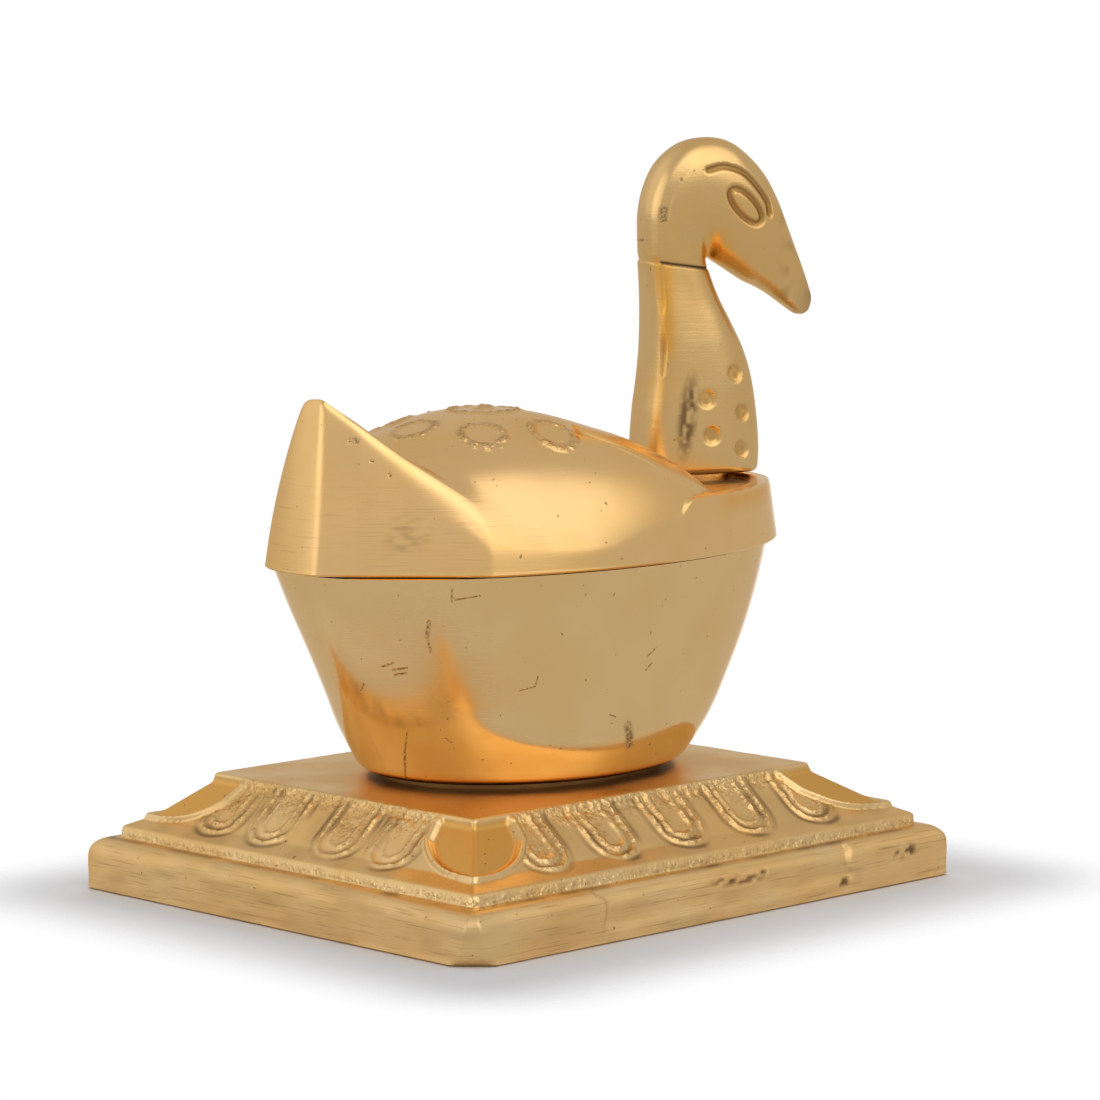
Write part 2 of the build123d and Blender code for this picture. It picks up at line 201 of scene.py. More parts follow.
def rounded_profile(corners: list[tuple[float, float, float]], step: float) -> Array:
    """Polyline with round corners, sampled finely.

    Args:
        corners: Corners as (across, up, radius); the ends have radius 0.
        step: Distance between samples.

    Returns:
        Sampled points, one row each.
    """
    points = np.array([corner[:2] for corner in corners])
    runs = [points[0]]
    for before, here, after, radius in zip(points, points[1:], points[2:], [c[2] for c in corners[1:-1]]):
        back, ahead = unit_rows(before - here), unit_rows(after - here)
        half = 0.5 * math.acos(float(np.clip(back @ ahead, -1, 1)))
        reach = radius / math.tan(half)
        for share in np.linspace(0, 1, 9):
            first = here + back * reach * (1 - share)
            second = here + ahead * reach * share
            runs.append(first * (1 - share) + second * share)
    runs.append(points[-1])
    path = np.array(runs)
    length = np.linalg.norm(np.diff(path, axis=0), axis=1).sum()
    return even_curve(path, int(length / step) + 2)


class Grain:
    """Seeded noise in space, for casting grain and the unevenness of hand work."""

    SIDE = 48

    def __init__(self, seed: int) -> None:
        """Draw the table of values that the noise is read from."""
        self.table = np.random.default_rng(seed).uniform(-1, 1, (self.SIDE,) * 3)

    def at(self, points: Array, size: float) -> Array:
        """Read the noise.

        Args:
            points: Places in millimetres, in the last axis.
            size: Size of one grain in millimetres.

        Returns:
            Values from -1 to 1.
        """
        cell = points / size
        base = np.floor(cell).astype(int)
        part = cell - base
        part = part * part * (3 - 2 * part)
        total = np.zeros(points.shape[:-1])
        for corner in np.ndindex(2, 2, 2):
            index = (base + corner) % self.SIDE
            weight = np.where(np.array(corner, bool), part, 1 - part).prod(axis=-1)
            total += weight * self.table[index[..., 0], index[..., 1], index[..., 2]]
        return total


class MeshDraft:
    """Points and faces of one piece, gathered patch by patch in millimetres."""

    def __init__(self, name: str) -> None:
        """Start an empty draft.

        Args:
            name: The piece's name.
        """
        self.name = name
        self.points: list[Array] = []
        self.faces: list[list[int]] = []
        self.marks: dict[Mark, list[Array]] = {mark: [] for mark in Mark}
        self.count = 0

    def add(self, points: Array, **marks: Array) -> Array:
        """Add points.

        Args:
            points: Points in the last axis.
            marks: Surface marks by their name, as numbers for each point.

        Returns:
            The points' numbers, in the same shape.
        """
        shape = points.shape[:-1]
        self.points.append(points.reshape(-1, 3))
        for mark in Mark:
            values = np.broadcast_to(marks.get(mark.value, 0.0), shape)
            self.marks[mark].append(values.reshape(-1))
        start = self.count
        self.count += int(np.prod(shape))
        return np.arange(start, self.count).reshape(shape)

    def skin(self, rows: Array) -> None:
        """Cover neighbouring closed rows with quads.

        Args:
            rows: Numbers of the points, row by row.
        """
        near, far = rows[:-1], rows[1:]
        quads = np.stack([near, np.roll(near, -1, 1), np.roll(far, -1, 1), far], axis=-1)
        self.faces.extend(quads.reshape(-1, 4).tolist())

    def zip_rows(self, fine: Array, coarse: Array) -> None:
        """Join a closed row to one with fewer points.

        Args:
            fine: Numbers of the row's points.
            coarse: Numbers of the other row's points, a whole fraction as many.
        """
        ratio = len(fine) // len(coarse)
        for index, corner in enumerate(coarse):
            run = [int(fine[(index * ratio + step) % len(fine)]) for step in range(ratio + 1)]
            self.faces.append([*run, int(coarse[(index + 1) % len(coarse)]), int(corner)])

    def close(self, row: Array, centre: Array) -> None:
        """Close a row with a fan to one point.

        Args:
            row: Numbers of the row's points.
            centre: The point.
        """
        middle = int(self.add(np.asarray(centre, float)[None])[0])
        for first, second in zip(row, np.roll(row, -1)):
            self.faces.append([int(first), int(second), middle])

    def build(self, crease: float = 40.0) -> bpy.types.Object:
        """Make the object.

        Args:
            crease: Angle in degrees above which an edge stays crisp.

        Returns:
            The new object, in metres.
        """
        mesh = bpy.data.meshes.new(self.name)
        mesh.from_pydata((np.concatenate(self.points) * MM).tolist(), [], self.faces)
        for mark, values in self.marks.items():
            layer = mesh.attributes.new(mark.value, "FLOAT", "POINT")
            layer.data.foreach_set("value", np.concatenate(values).astype(np.float32))
        work = bmesh.new()
        work.from_mesh(mesh)
        bmesh.ops.recalc_face_normals(work, faces=work.faces)
        work.to_mesh(mesh)
        work.free()
        mesh.shade_smooth()
        mesh.set_sharp_from_angle(angle=math.radians(crease))
        piece = bpy.data.objects.new(self.name, mesh)
        bpy.context.scene.collection.objects.link(piece)
        return piece


def drill(piece: bpy.types.Object, low: Vector, high: Vector, radius: float) -> None:
    """Cut a round hole through a mesh.

    Args:
        piece: Object to cut.
        low: One end of the hole's axis in millimetres.
        high: The other end.
        radius: The hole's radius in millimetres.
    """
    axis = high - low
    bit = bpy.data.meshes.new("bit")
    work = bmesh.new()
    bmesh.ops.create_cone(
        work, cap_ends=True, segments=48, radius1=radius * MM, radius2=radius * MM, depth=axis.length * MM
    )
    turn = axis.to_track_quat("Z", "Y").to_matrix().to_4x4()
    bmesh.ops.transform(work, matrix=Matrix.Translation((low + high) * 0.5 * MM) @ turn, verts=work.verts)
    work.to_mesh(bit)
    work.free()
    cutter = bpy.data.objects.new("bit", bit)
    bpy.context.scene.collection.objects.link(cutter)
    cut = piece.modifiers.new("hole", "BOOLEAN")
    cut.operation = "DIFFERENCE"
    cut.solver = "EXACT"
    cut.object = cutter
    graph = bpy.context.evaluated_depsgraph_get()
    cut_mesh = bpy.data.meshes.new_from_object(piece.evaluated_get(graph))
    piece.modifiers.remove(cut)
    old = piece.data
    piece.data = cut_mesh
    bpy.data.meshes.remove(old)
    cut_mesh.name = piece.name
    bpy.data.objects.remove(cutter)
    bpy.data.meshes.remove(bit)


class NodeSketch:
    """A node tree, drawn with short calls."""

    def __init__(self, tree: bpy.types.NodeTree) -> None:
        """Start from a tree's own nodes."""
        self.tree = tree

    def node(self, kind: str, **settings: object) -> bpy.types.Node:
        """Add a node with its settings.

        Args:
            kind: The node's type.
            settings: Its properties by name.

        Returns:
            The new node.
        """
        made = self.tree.nodes.new(kind)
        for key, value in settings.items():
            setattr(made, key, value)
        return made

    def feed(self, socket: bpy.types.NodeSocket, value: object) -> None:
        """Link a socket or set a plain value on it.

        Args:
            socket: Socket to feed.
            value: Another socket or a plain value.
        """
        if isinstance(value, bpy.types.NodeSocket):
            self.tree.links.new(value, socket)
        else:
            socket.default_value = value

    def vector(self, operation: str, first: object, second: object = None) -> bpy.types.Node:
        """Add one vector step.

        Args:
            operation: What it does.
            first: Its first vector, as a socket or a value.
            second: Its second vector, where it has one.

        Returns:
            The new node.
        """
        made = self.node("ShaderNodeVectorMath", operation=operation)
        self.feed(made.inputs[0], first)
        if second is not None:
            self.feed(made.inputs[1], second)
        return made

    def math(self, operation: str, first: object, second: object = 0.0, clamp: bool = True) -> bpy.types.NodeSocket:
        """Add one arithmetic step.

        Args:
            operation: What it does.
            first: Its first number, as a socket or a value.
            second: Its second number.
            clamp: Whether the result is kept between 0 and 1.

        Returns:
            The result's socket.
        """
        made = self.node("ShaderNodeMath", operation=operation, use_clamp=clamp)
        self.feed(made.inputs[0], first)
        self.feed(made.inputs[1], second)
        return made.outputs[0]

    def ramp(self, value: object, low: float, high: float, start: float, end: float) -> bpy.types.NodeSocket:
        """Map a value's range onto another, with eased ends.

        Args:
            value: The value's socket.
            low: Where its range starts.
            high: Where its range ends.
            start: Result at the range's start.
            end: Result at its end.

        Returns:
            The result's socket.
        """
        made = self.node("ShaderNodeMapRange", interpolation_type="SMOOTHSTEP")
        for socket, number in zip(made.inputs, (value, low, high, start, end)):
            self.feed(socket, number)
        return made.outputs[0]

    def mix(self, share: object, first: object, second: object) -> bpy.types.NodeSocket:
        """Blend two colours.

        Args:
            share: Share of the second colour.
            first: One colour, as a socket or a value.
            second: The other colour.

        Returns:
            The blended colour's socket.
        """
        made = self.node("ShaderNodeMix", data_type="RGBA")
        self.feed(made.inputs["Factor"], share)
        for socket, colour in zip((made.inputs[6], made.inputs[7]), (first, second)):
            self.feed(socket, (*colour, 1.0) if isinstance(colour, tuple) else colour)
        return made.outputs[2]


class ShaderSketch(NodeSketch):
    """A material's node tree."""

    def __init__(self, name: str) -> None:
        """Start a material with one surface shader.

        Args:
            name: The material's name.
        """
        self.material = bpy.data.materials.new(name)
        self.material.use_nodes = True
        super().__init__(self.material.node_tree)
        self.surface = self.tree.nodes["Principled BSDF"]
        self.place = self.node("ShaderNodeTexCoord").outputs["Object"]

    def noise(self, size: float, detail: float, stretch: Place = (1.0, 1.0, 1.0)) -> bpy.types.NodeSocket:
        """Noise in space.

        Args:
            size: Size of its blotches in metres.
            detail: How many finer layers it has.
            stretch: Stretch along each axis.

        Returns:
            Its value socket, about 0.5.
        """
        scaled = self.node("ShaderNodeMapping")
        self.feed(scaled.inputs["Vector"], self.place)
        scaled.inputs["Scale"].default_value = tuple(1.0 / (size * pull) for pull in stretch)
        made = self.node("ShaderNodeTexNoise")
        self.feed(made.inputs["Vector"], scaled.outputs[0])
        made.inputs["Scale"].default_value = 1.0
        made.inputs["Detail"].default_value = detail
        return made.outputs["Fac"]

    def mark(self, mark: Mark) -> bpy.types.NodeSocket:
        """Read one of the mesh's surface marks."""
        return self.node("ShaderNodeAttribute", attribute_name=mark.value).outputs["Fac"]

    def bumped(self, layers: list[tuple[bpy.types.NodeSocket, float]]) -> bpy.types.NodeSocket:
        """Surface normal with several bump layers.

        Args:
            layers: Each layer's height socket and its depth in metres.

        Returns:
            The normal socket.
        """
        normal = None
        for height, depth in layers:
            made = self.node("ShaderNodeBump")
            made.inputs["Strength"].default_value = 1.0
            made.inputs["Distance"].default_value = depth
            self.feed(made.inputs["Height"], height)
            if normal is not None:
                self.feed(made.inputs["Normal"], normal)
            normal = made.outputs[0]
        return normal


@dataclass(frozen=True)
class Scratch:
    """A dark scratch or stain between two places on a piece, in millimetres."""

    start: Place
    end: Place
    half: float = 0.16
    core: float = 0.3

    def share(self, sketch: ShaderSketch) -> bpy.types.NodeSocket:
        """Draw the scratch.

        Args:
            sketch: The material's nodes.

        Returns:
            1 on the scratch and 0 away from it.
        """
        run = (Vector(self.end) - Vector(self.start)) * MM
        away = sketch.vector("SUBTRACT", sketch.place, Vector(self.start) * MM).outputs[0]
        along = sketch.vector("DOT_PRODUCT", away, run / run.length_squared)
        nearest = sketch.vector("SCALE", run)
        sketch.feed(nearest.inputs["Scale"], sketch.math("ADD", along.outputs["Value"]))
        gap = sketch.vector("DISTANCE", away, nearest.outputs[0])
        return sketch.ramp(gap.outputs["Value"], self.core * self.half * MM, self.half * MM, 1.0, 0.0)


@dataclass(frozen=True)
class BrassFinish:
    """A brass finish. Colours are linear and sizes are in metres."""

    name: str
    buffed: Colour = (0.92, 0.59, 0.25)
    warm: Colour = (0.9, 0.56, 0.21)
    # Painted reflection colour: brass tinted by brass, darker and more orange, standing for shade and bounced light.
    pooled: Colour = (0.88, 0.45, 0.09)
    # Colour of real tarnish, and also of painted shade in gaps.
    dull: Colour = (0.14, 0.085, 0.04)
    brown: Colour = (0.3, 0.15, 0.05)
    edge: Colour = (1.0, 0.9, 0.75)
    roughness: float = 0.2
    filed_roughness: float = 0.42
    tarnish_roughness: float = 0.3
    blotch_size: float = 0.011
    wave_size: float = 0.007
    wave_depth: float = 0.00002
    grain_size: float = 0.0004
    grain_depth: float = 0.000004
    stipple_size: float = 0.00045
    stipple_depth: float = 0.00016
    line_size: float = 0.00016
    brush_stretch: Place = (30.0, 30.0, 1.0)
    brush_depth: float = 0.000005
    file_stretch: Place = (40.0, 40.0, 1.0)
    file_depth: float = 0.000028
    speck_size: float = 0.0005
    break_size: float = 0.0003
    pit_depth: float = 0.00004
    scratches: tuple[Scratch, ...] = ()

    def specks(self, sketch: ShaderSketch) -> bpy.types.NodeSocket:
        """Draw the small pits and the broken scratches.

        Args:
            sketch: The material's nodes.

        Returns:
            Share of them at each place.
        """
        share = sketch.ramp(sketch.noise(self.speck_size, 0.0), 0.83, 0.875, 0.0, 0.8)
        broken = sketch.ramp(sketch.noise(self.break_size, 3.0), 0.42, 0.56, 0.3, 1.0)
        for scratch in self.scratches:
            share = sketch.math("MAXIMUM", share, sketch.math("MULTIPLY", scratch.share(sketch), broken))
        return share

    def material(self) -> bpy.types.Material:
        """Draw the finish.

        Returns:
            The new material.
        """
        sketch = ShaderSketch(self.name)
        blotch = sketch.noise(self.blotch_size, 3.0)
        grain = sketch.noise(self.grain_size, 3.0)
        wave = sketch.noise(self.wave_size, 1.0)
        brush_lines = sketch.noise(self.line_size, 2.0, self.brush_stretch)
        file_lines = sketch.noise(self.line_size, 4.0, self.file_stretch)
        speck = self.specks(sketch)
        stippled, filed = sketch.mark(Mark.STIPPLED), sketch.mark(Mark.FILED)
        tarnish = sketch.math("ADD", sketch.mark(Mark.TARNISH_AND_SHADE), sketch.math("MULTIPLY", speck, 0.7))
        file_dirt = sketch.math("MULTIPLY", sketch.ramp(file_lines, 0.45, 0.28, 0.0, 0.45), filed)
        grain_dirt = sketch.math("MULTIPLY", sketch.ramp(grain, 0.5, 0.35, 0.0, 0.5), stippled)
        tone = sketch.mix(sketch.ramp(blotch, 0.35, 0.65, 0.0, 1.0), self.buffed, self.warm)
        # Painted reflection and shade: deep orange wherever the mesh marks it.
        tone = sketch.mix(sketch.mark(Mark.PAINTED_REFLECTION), tone, self.pooled)
        # Real tarnish and painted shade both darken towards dull here.
        for share, colour in ((file_dirt, self.brown), (grain_dirt, self.brown), (tarnish, self.dull)):
            tone = sketch.mix(share, tone, colour)
        rough = sketch.ramp(blotch, 0.3, 0.7, 0.8 * self.roughness, 1.25 * self.roughness)
        for share, more in ((filed, self.filed_roughness - self.roughness), (tarnish, self.tarnish_roughness)):
            rough = sketch.math("ADD", rough, sketch.math("MULTIPLY", share, more))
        layers = [
            (wave, self.wave_depth),
            (brush_lines, self.brush_depth),
            (grain, self.grain_depth),
            (sketch.math("MULTIPLY", sketch.noise(self.stipple_size, 1.0), stippled), self.stipple_depth),
            (sketch.math("MULTIPLY", file_lines, filed), self.file_depth),
            (sketch.math("SUBTRACT", 1.0, speck), self.pit_depth),
        ]
        sketch.feed(sketch.surface.inputs["Base Color"], tone)
        sketch.feed(sketch.surface.inputs["Roughness"], rough)
        sketch.feed(sketch.surface.inputs["Normal"], sketch.bumped(layers))
        sketch.surface.inputs["Metallic"].default_value = 1.0
        sketch.surface.inputs["Specular Tint"].default_value = (*self.edge, 1.0)
        return sketch.material


def node_box(node: str) -> tuple[Array, Array]:
    """Lowest and highest corner of a CAD node in millimetres."""
    low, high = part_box(node)
    return np.array(low) / MM, np.array(high) / MM


def dress(piece: bpy.types.Object, material: bpy.types.Material, body: Body, node: str) -> None:
    """Give a casting its finish and tie it to the frame.

    Args:
        piece: The casting.
        material: Its material.
        body: The body it moves with.
        node: CAD node that it stands for.
    """
    piece.data.materials.clear()
    piece.data.materials.append(material)
    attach(piece, body.value)
    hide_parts(node)
    LOG.info("%s: %d faces", piece.name, len(piece.data.polygons))


@dataclass
class Plinth:
    """Stepped plinth with a petal frieze, hollow from below.

    Pit patches are (place along, height, half length, half height). Row spacing is (slab, frieze).
    """

    grain: Grain
    finish: BrassFinish = BrassFinish(
        "plinth_brass",
        buffed=(0.88, 0.605, 0.28),
        warm=(0.83, 0.535, 0.22),
        roughness=0.3,
        filed_roughness=0.45,
        grain_depth=0.000012,
    )
    slab_height: float = 6.2
    slab_round: float = 2.4
    ledge: float = 2.85
    bead_height: float = 1.3
    frieze_inset: float = 5.5
    frieze_foot: float = 8.6
    top_length: float = 52.6
    top_width: float = 44.3
    stern_inset: float = 11.1
    rim_height: float = 1.1
    wall: float = 5.0
    plate: float = 3.4
    hole_radius: float = 2.75
    corner_heights: tuple[float, ...] = (0.0, 6.0, 8.0, 10.0)
    corner_rounds: tuple[float, ...] = (1.3, 1.1, 0.6, 0.5)
    cut_heights: tuple[float, ...] = (0.0, 1.0, 6.4)
    cut_legs: tuple[float, ...] = (3.9, 2.4, 0.6)
    petal_width: float = 6.3
    petal_bottom: float = 8.6
    petal_inner: float = 0.55
    petal_cord: float = 0.46
    petal_relief: float = 0.3
    petal_ditch: float = 0.1
    leaf_half: float = 7.3
    leaf_taper: float = 1.9
    leaf_middle: float = 3.8
    leaf_bottom: float = 8.1
    leaf_square: float = 2.6
    leaf_cord: float = 0.55
    leaf_sink: float = 0.16
    frieze_bottom: float = 10.4
    bead_down: float = 11.5
    groove_down: float = 12.6
    stipple_height: float = 0.13
    long_petals: int = 5
    long_pitch: float = 11.2
    short_petals: tuple[float, ...] = (-14.7, -5.7, 5.7, 14.7)
    short_shift: float = 1.4
    filed_span: Pair = (-19.3, 21.2)
    filed_depth: float = 0.42
    pit_depth: float = 0.25
    pit_patches: tuple[tuple[float, float, float, float], ...] = (
        (4.0, 4.5, 6.5, 0.8),
        (20.5, 1.6, 1.8, 0.7),
        (31.8, 3.9, 2.6, 1.0),
    )
    fine_step: float = 0.05
    row_spacing: Pair = (0.42, 0.2)
    side_columns: tuple[int, int] = (252, 204)
    corner_columns: int = 12
    coarse: int = 6
    low: Array = field(init=False)
    high: Array = field(init=False)

    def __post_init__(self) -> None:
        """Take the outer size from the frame."""
        self.low, self.high = node_box("plinth")

    def columns(self) -> tuple[Array, Array]:
        """Places round the outline.

        Returns:
            Core place, from -1 to 1 along each side, and outward direction, for each column.
        """
        core, outward = [], []
        many_long, many_short = self.side_columns
        sides = [((1, 0), many_short), ((0, 1), many_long), ((-1, 0), many_short), ((0, -1), many_long)]
        for (out_x, out_y), many in sides:
            for share in np.linspace(-1, 1, many, endpoint=False) + 1 / many:
                core.append((out_x - out_y * share, out_y + out_x * share))
                outward.append((out_x, out_y))
            for angle in np.radians(90 * (np.arange(self.corner_columns) + 0.5) / self.corner_columns):
                cosine, sine = math.cos(angle), math.sin(angle)
                core.append((out_x - out_y, out_y + out_x))
                outward.append((out_x * cosine - out_y * sine, out_y * cosine + out_x * sine))
        return np.array(core, float), np.array(outward, float)

    def profile(self) -> Array:
        """Section of the outside from the underside's edge to the top plate.

        Returns:
            Rows of inset, height, distance down from the top edge.
        """
        height = self.high[2]
        top = (self.high[1] - self.low[1] - self.top_width) / 2
        corners = [
            (1.2, 0.0, 0.0),
            (0.0, 0.0, 0.3),
            (0.0, self.slab_height, self.slab_round),
            (self.ledge, self.slab_height, 0.3),
            (self.ledge + 0.25, self.slab_height + self.bead_height, 0.55),
            (self.frieze_inset, self.frieze_foot, 1.5),
            (top - 0.6, height - self.rim_height, 0.3),
            (top - 0.15, height, 0.4),
            (top + 2.0, height, 0.0),
        ]
        fine = rounded_profile(corners, self.fine_step)
        along = np.concatenate([[0], np.cumsum(np.linalg.norm(np.diff(fine, axis=0), axis=1))])
        on_slab = (fine[:, 1] < self.slab_height - 0.4) & (fine[:, 0] < self.ledge - 0.6)
        spacing = np.where(on_slab, *self.row_spacing)
        tally = np.concatenate([[0], np.cumsum(np.diff(along) / spacing[1:])])
        keep = np.unique(np.searchsorted(tally, np.arange(0, tally[-1])))
        keep = np.append(keep, len(fine) - 1)
        edge = along[np.argmax(fine[:, 1] > height - 0.05)]
        return np.column_stack([fine[keep], edge - along[keep]])

    def ends_inset(self, inset: Array, end_top: float) -> Array:
        """Inset at a short end for an inset at the long sides, where the frieze slopes otherwise.

        Args:
            inset: Inset at the long sides.
            end_top: Inset of the top edge at the short end.

        Returns:
            Inset at the short end.
        """
        side_top = (self.high[1] - self.low[1] - self.top_width) / 2
        keys = [0.0, self.frieze_inset, side_top, side_top + 9.0]
        return np.interp(inset, keys, [0.0, self.frieze_inset, end_top, end_top + 9.0])

    def petal(self, across: Array, down: Array, shrink: float) -> Array:
        """Distance from the outline of a hanging petal.

        Args:
            across: Distance from the petal's middle.
            down: Distance down from the plinth's top edge.
            shrink: 1 for the outer outline, less for the inner.

        Returns:
            Signed distance, negative inside.
        """
        half = 0.5 * self.petal_width * shrink
        bottom = self.petal_bottom - 0.5 * (1 - shrink) * self.petal_width
        below = np.maximum(down - (bottom - half), 0.0)
        return np.hypot(across, below) - half

    def corner_leaf(self, from_edge: Array, down: Array) -> Array:
        """Distance from the outline of the large leaf that wraps a corner.

        Args:
            from_edge: Distance from the corner's edge.
            down: Distance down from the plinth's top edge.

        Returns:
            Signed distance, negative inside.
        """
        below = np.maximum(down - self.leaf_middle, 0) / (self.leaf_bottom - self.leaf_middle)
        half = self.leaf_half - self.leaf_taper * np.clip(1 - down / self.leaf_middle, 0, 1)
        power = self.leaf_square
        size = (np.abs(from_edge / half) ** power + below**power) ** (1 / power)
        return (size - 1) * 5.0

    def relief(self, points: Array, down: Array, outward: Array) -> tuple[Array, dict[str, Array]]:
        """Height of the frieze's carving.

        Args:
            points: Places on the plain surface.
            down: Distance down from the top edge, for each row.
            outward: Outward direction of each column.

        Returns:
            Height out of the surface, and the surface marks by name.
        """
        long_side = np.abs(outward[:, 1]) > np.abs(outward[:, 0])
        place = np.where(long_side, points[..., 0], points[..., 1])
        shifted = np.where(long_side, place, place - self.short_shift)
        long_centres = (np.arange(self.long_petals) - (self.long_petals - 1) / 2) * self.long_pitch
        long_near = np.abs(place[..., None] - long_centres).min(-1)
        short_near = np.abs(shifted[..., None] - np.array(self.short_petals)).min(-1)
        across = np.where(long_side, long_near, short_near)
        depth = np.broadcast_to(down[:, None], across.shape)
        rough = self.grain.at(points, 0.75)
        patchy = self.grain.at(points + 31.0, 2.6)
        frieze = smooth_step(depth, 0.2, 1.0) * (1 - smooth_step(depth, self.frieze_bottom, self.frieze_bottom + 0.6))
        outer = self.petal(across, depth, 1.0) + 0.18 * patchy
        inner = self.petal(across, depth, self.petal_inner) + 0.18 * patchy
        ends = np.where(place < 0, -place.min(axis=1, keepdims=True), place.max(axis=1, keepdims=True))
        reach = np.where(long_side, ends, np.abs(points[..., 1]).max(axis=1, keepdims=True))
        leaf = self.corner_leaf(reach - np.abs(place), depth) + 0.1 * patchy
        clear = smooth_step(leaf, 0.3, 1.1)
        worn = np.clip(0.75 + 0.5 * patchy + 0.35 * rough, 0.15, 1.2)
        cords = np.maximum(bump(outer, self.petal_cord), 0.85 * bump(inner, self.petal_cord)) * clear * worn
        beside = np.maximum(bump(outer - 0.95, 0.55), bump(inner - 0.9, 0.5)) * clear
        inside_leaf = smooth_step(-leaf, 0.3, 0.9) * frieze
        leaf_cord = bump(leaf, 0.6) * frieze
        height = (self.petal_relief * cords - self.petal_ditch * beside) * frieze
        height = np.maximum(height, self.leaf_cord * leaf_cord)
        upper = (1 - smooth_step(depth + 1.2 * patchy, 0.8, 4.2)) * smooth_step(depth, -0.3, 0.5)
        in_petals = smooth_step(-outer, -0.7, 0.2) * frieze * np.clip(0.45 + 0.8 * patchy, 0, 1)
        stippled = np.clip(np.maximum(upper, in_petals), 0, 1) * clear
        height += self.stipple_height * stippled * rough - self.leaf_sink * inside_leaf
        bead = np.exp(-(((depth - self.bead_down) / 0.6) ** 2))
        height += bead * (0.02 + 0.1 * rough)
        low_spots = np.clip(0.5 - 2.6 * height, 0, 1) * frieze * clear
        brown = 0.75 * beside * frieze * np.clip(0.55 + 0.9 * patchy, 0, 1)
        brown = np.maximum(brown, 0.3 * low_spots * np.clip(0.4 + patchy, 0, 1))
        groove = np.exp(-(((depth - self.groove_down) / 0.5) ** 2))
        brown = np.maximum(brown, groove * np.clip(0.35 + 0.7 * patchy, 0, 0.8))
        marks = {
            # The sunk leaf and the frieze's low spots get the painted reflection, a painted shade in these hollows.
            Mark.PAINTED_REFLECTION.value: np.clip(0.85 * inside_leaf + 0.4 * low_spots, 0, 1),
            Mark.STIPPLED.value: np.clip(stippled + 0.8 * bead + 0.5 * cords * frieze, 0, 1),
            Mark.TARNISH_AND_SHADE.value: np.clip(np.maximum(brown, 0.14 * inside_leaf), 0, 0.8),
        }
        return height, marks

    def filing(self, points: Array, outward: Array) -> Array:
        """Depth that the file took off the slab's shoulder on the right-hand side.

        Args:
            points: Places on the plain surface.
            outward: Outward direction of each column.

        Returns:
            Depth at each place.
        """
        place, height = points[..., 0], points[..., 2]
        ragged = 1.3 * self.grain.at(points * np.array([0.3, 0.3, 1.0]), 1.2)
        start, end = self.filed_span
        patch = smooth_step(place + ragged, start, start + 0.5) * (1 - smooth_step(place + ragged, end, end + 0.5))
        band = smooth_step(height + 0.4 * ragged, 1.2, 2.6) * (1 - smooth_step(height, 5.9, 6.3))
        return self.filed_depth * patch * band * (outward[:, 1] < -0.9)

    def pits(self, points: Array, outward: Array) -> Array:
        """Casting pits that the file left open on the slab's right-hand side.

        Args:
            points: Places on the plain surface.
            outward: Outward direction of each column.

        Returns:
            Share of a pit's depth at each place.
        """
        place, height = points[..., 0], points[..., 2]
        holes = smooth_step(self.grain.at(points * (0.6, 1.0, 1.0), 0.55), -0.1, 0.3)
        share = np.zeros(place.shape)
        for middle, level, half_length, half_height in self.pit_patches:
            away = np.hypot((place - middle) / half_length, (height - level) / half_height)
            share = np.maximum(share, 1 - smooth_step(away, 0.5, 1.1))
        return share * holes * (outward[:, 1] < -0.9)

    def build(self) -> None:
        """Make and dress the plinth."""
        core, outward = self.columns()
        rows = self.profile()
        half = np.array([self.high[0], self.high[1]])
        corner = np.interp(rows[:, 1], self.corner_heights, self.corner_rounds)
        bow_inset = (self.high[0] - self.low[0] - self.top_length) / 2
        bow = half[0] - self.ends_inset(rows[:, 0], bow_inset) - corner
        stern = half[0] - self.ends_inset(rows[:, 0], self.stern_inset) - corner
        along = core[:, 0] * np.where(core[:, 0] < 0, stern[:, None], bow[:, None])
        plan = np.stack([along, core[:, 1] * (half[1] - rows[:, 0] - corner)[:, None]], axis=-1)
        plan += corner[:, None, None] * outward
        cut = half.sum() - np.interp(rows[:, 1], self.cut_heights, self.cut_legs)[:, None] - 2 * rows[:, :1]
        over = np.maximum(-plan.sum(axis=-1) - cut, 0) * (rows[:, 1:2] < self.cut_heights[-1])
        plan += 0.5 * over[..., None]
        points = np.concatenate([plan, np.broadcast_to(rows[:, 1, None, None], (*plan.shape[:2], 1))], axis=-1)
        step = np.gradient(rows[:, :2], axis=0)
        normal = unit_rows(np.column_stack([step[:, 1], step[:, 0]]))
        height, marks = self.relief(points, rows[:, 2], outward)
        slab = 1 - smooth_step(rows[:, 1], self.slab_height - 0.6, self.slab_height + 0.2)
        standing = smooth_step(rows[:, 1], 0.0, 0.6)
        uneven = 0.09 * self.grain.at(points, 7.0) + 0.035 * self.grain.at(points * (0.3, 0.3, 1.0), 1.0)
        pits = self.pits(points, outward)
        height = height + (slab * standing)[:, None] * (uneven - 0.07)
        height = height - self.filing(points, outward) - self.pit_depth * pits
        stain = np.clip(self.grain.at(points * (0.2, 0.2, 1.0) + 17.0, 0.9), 0, 1) * slab[:, None]
        marks[Mark.TARNISH_AND_SHADE.value] = np.maximum(marks[Mark.TARNISH_AND_SHADE.value], np.maximum(0.85 * pits, 0.22 * stain))
        points[..., :2] += (height * normal[:, 0, None])[..., None] * outward[None]
        points[..., 2] += height * normal[:, 1, None]
        filed = np.broadcast_to(slab[:, None], height.shape)
        draft = MeshDraft("plinth_casting")
        skin = draft.add(points, filed=filed, **marks)
        draft.skin(skin)
        self.hollow(draft, skin, core[:: self.coarse], outward[:: self.coarse])
        dress(draft.build(), self.finish.material(), Body.BASE, "plinth")

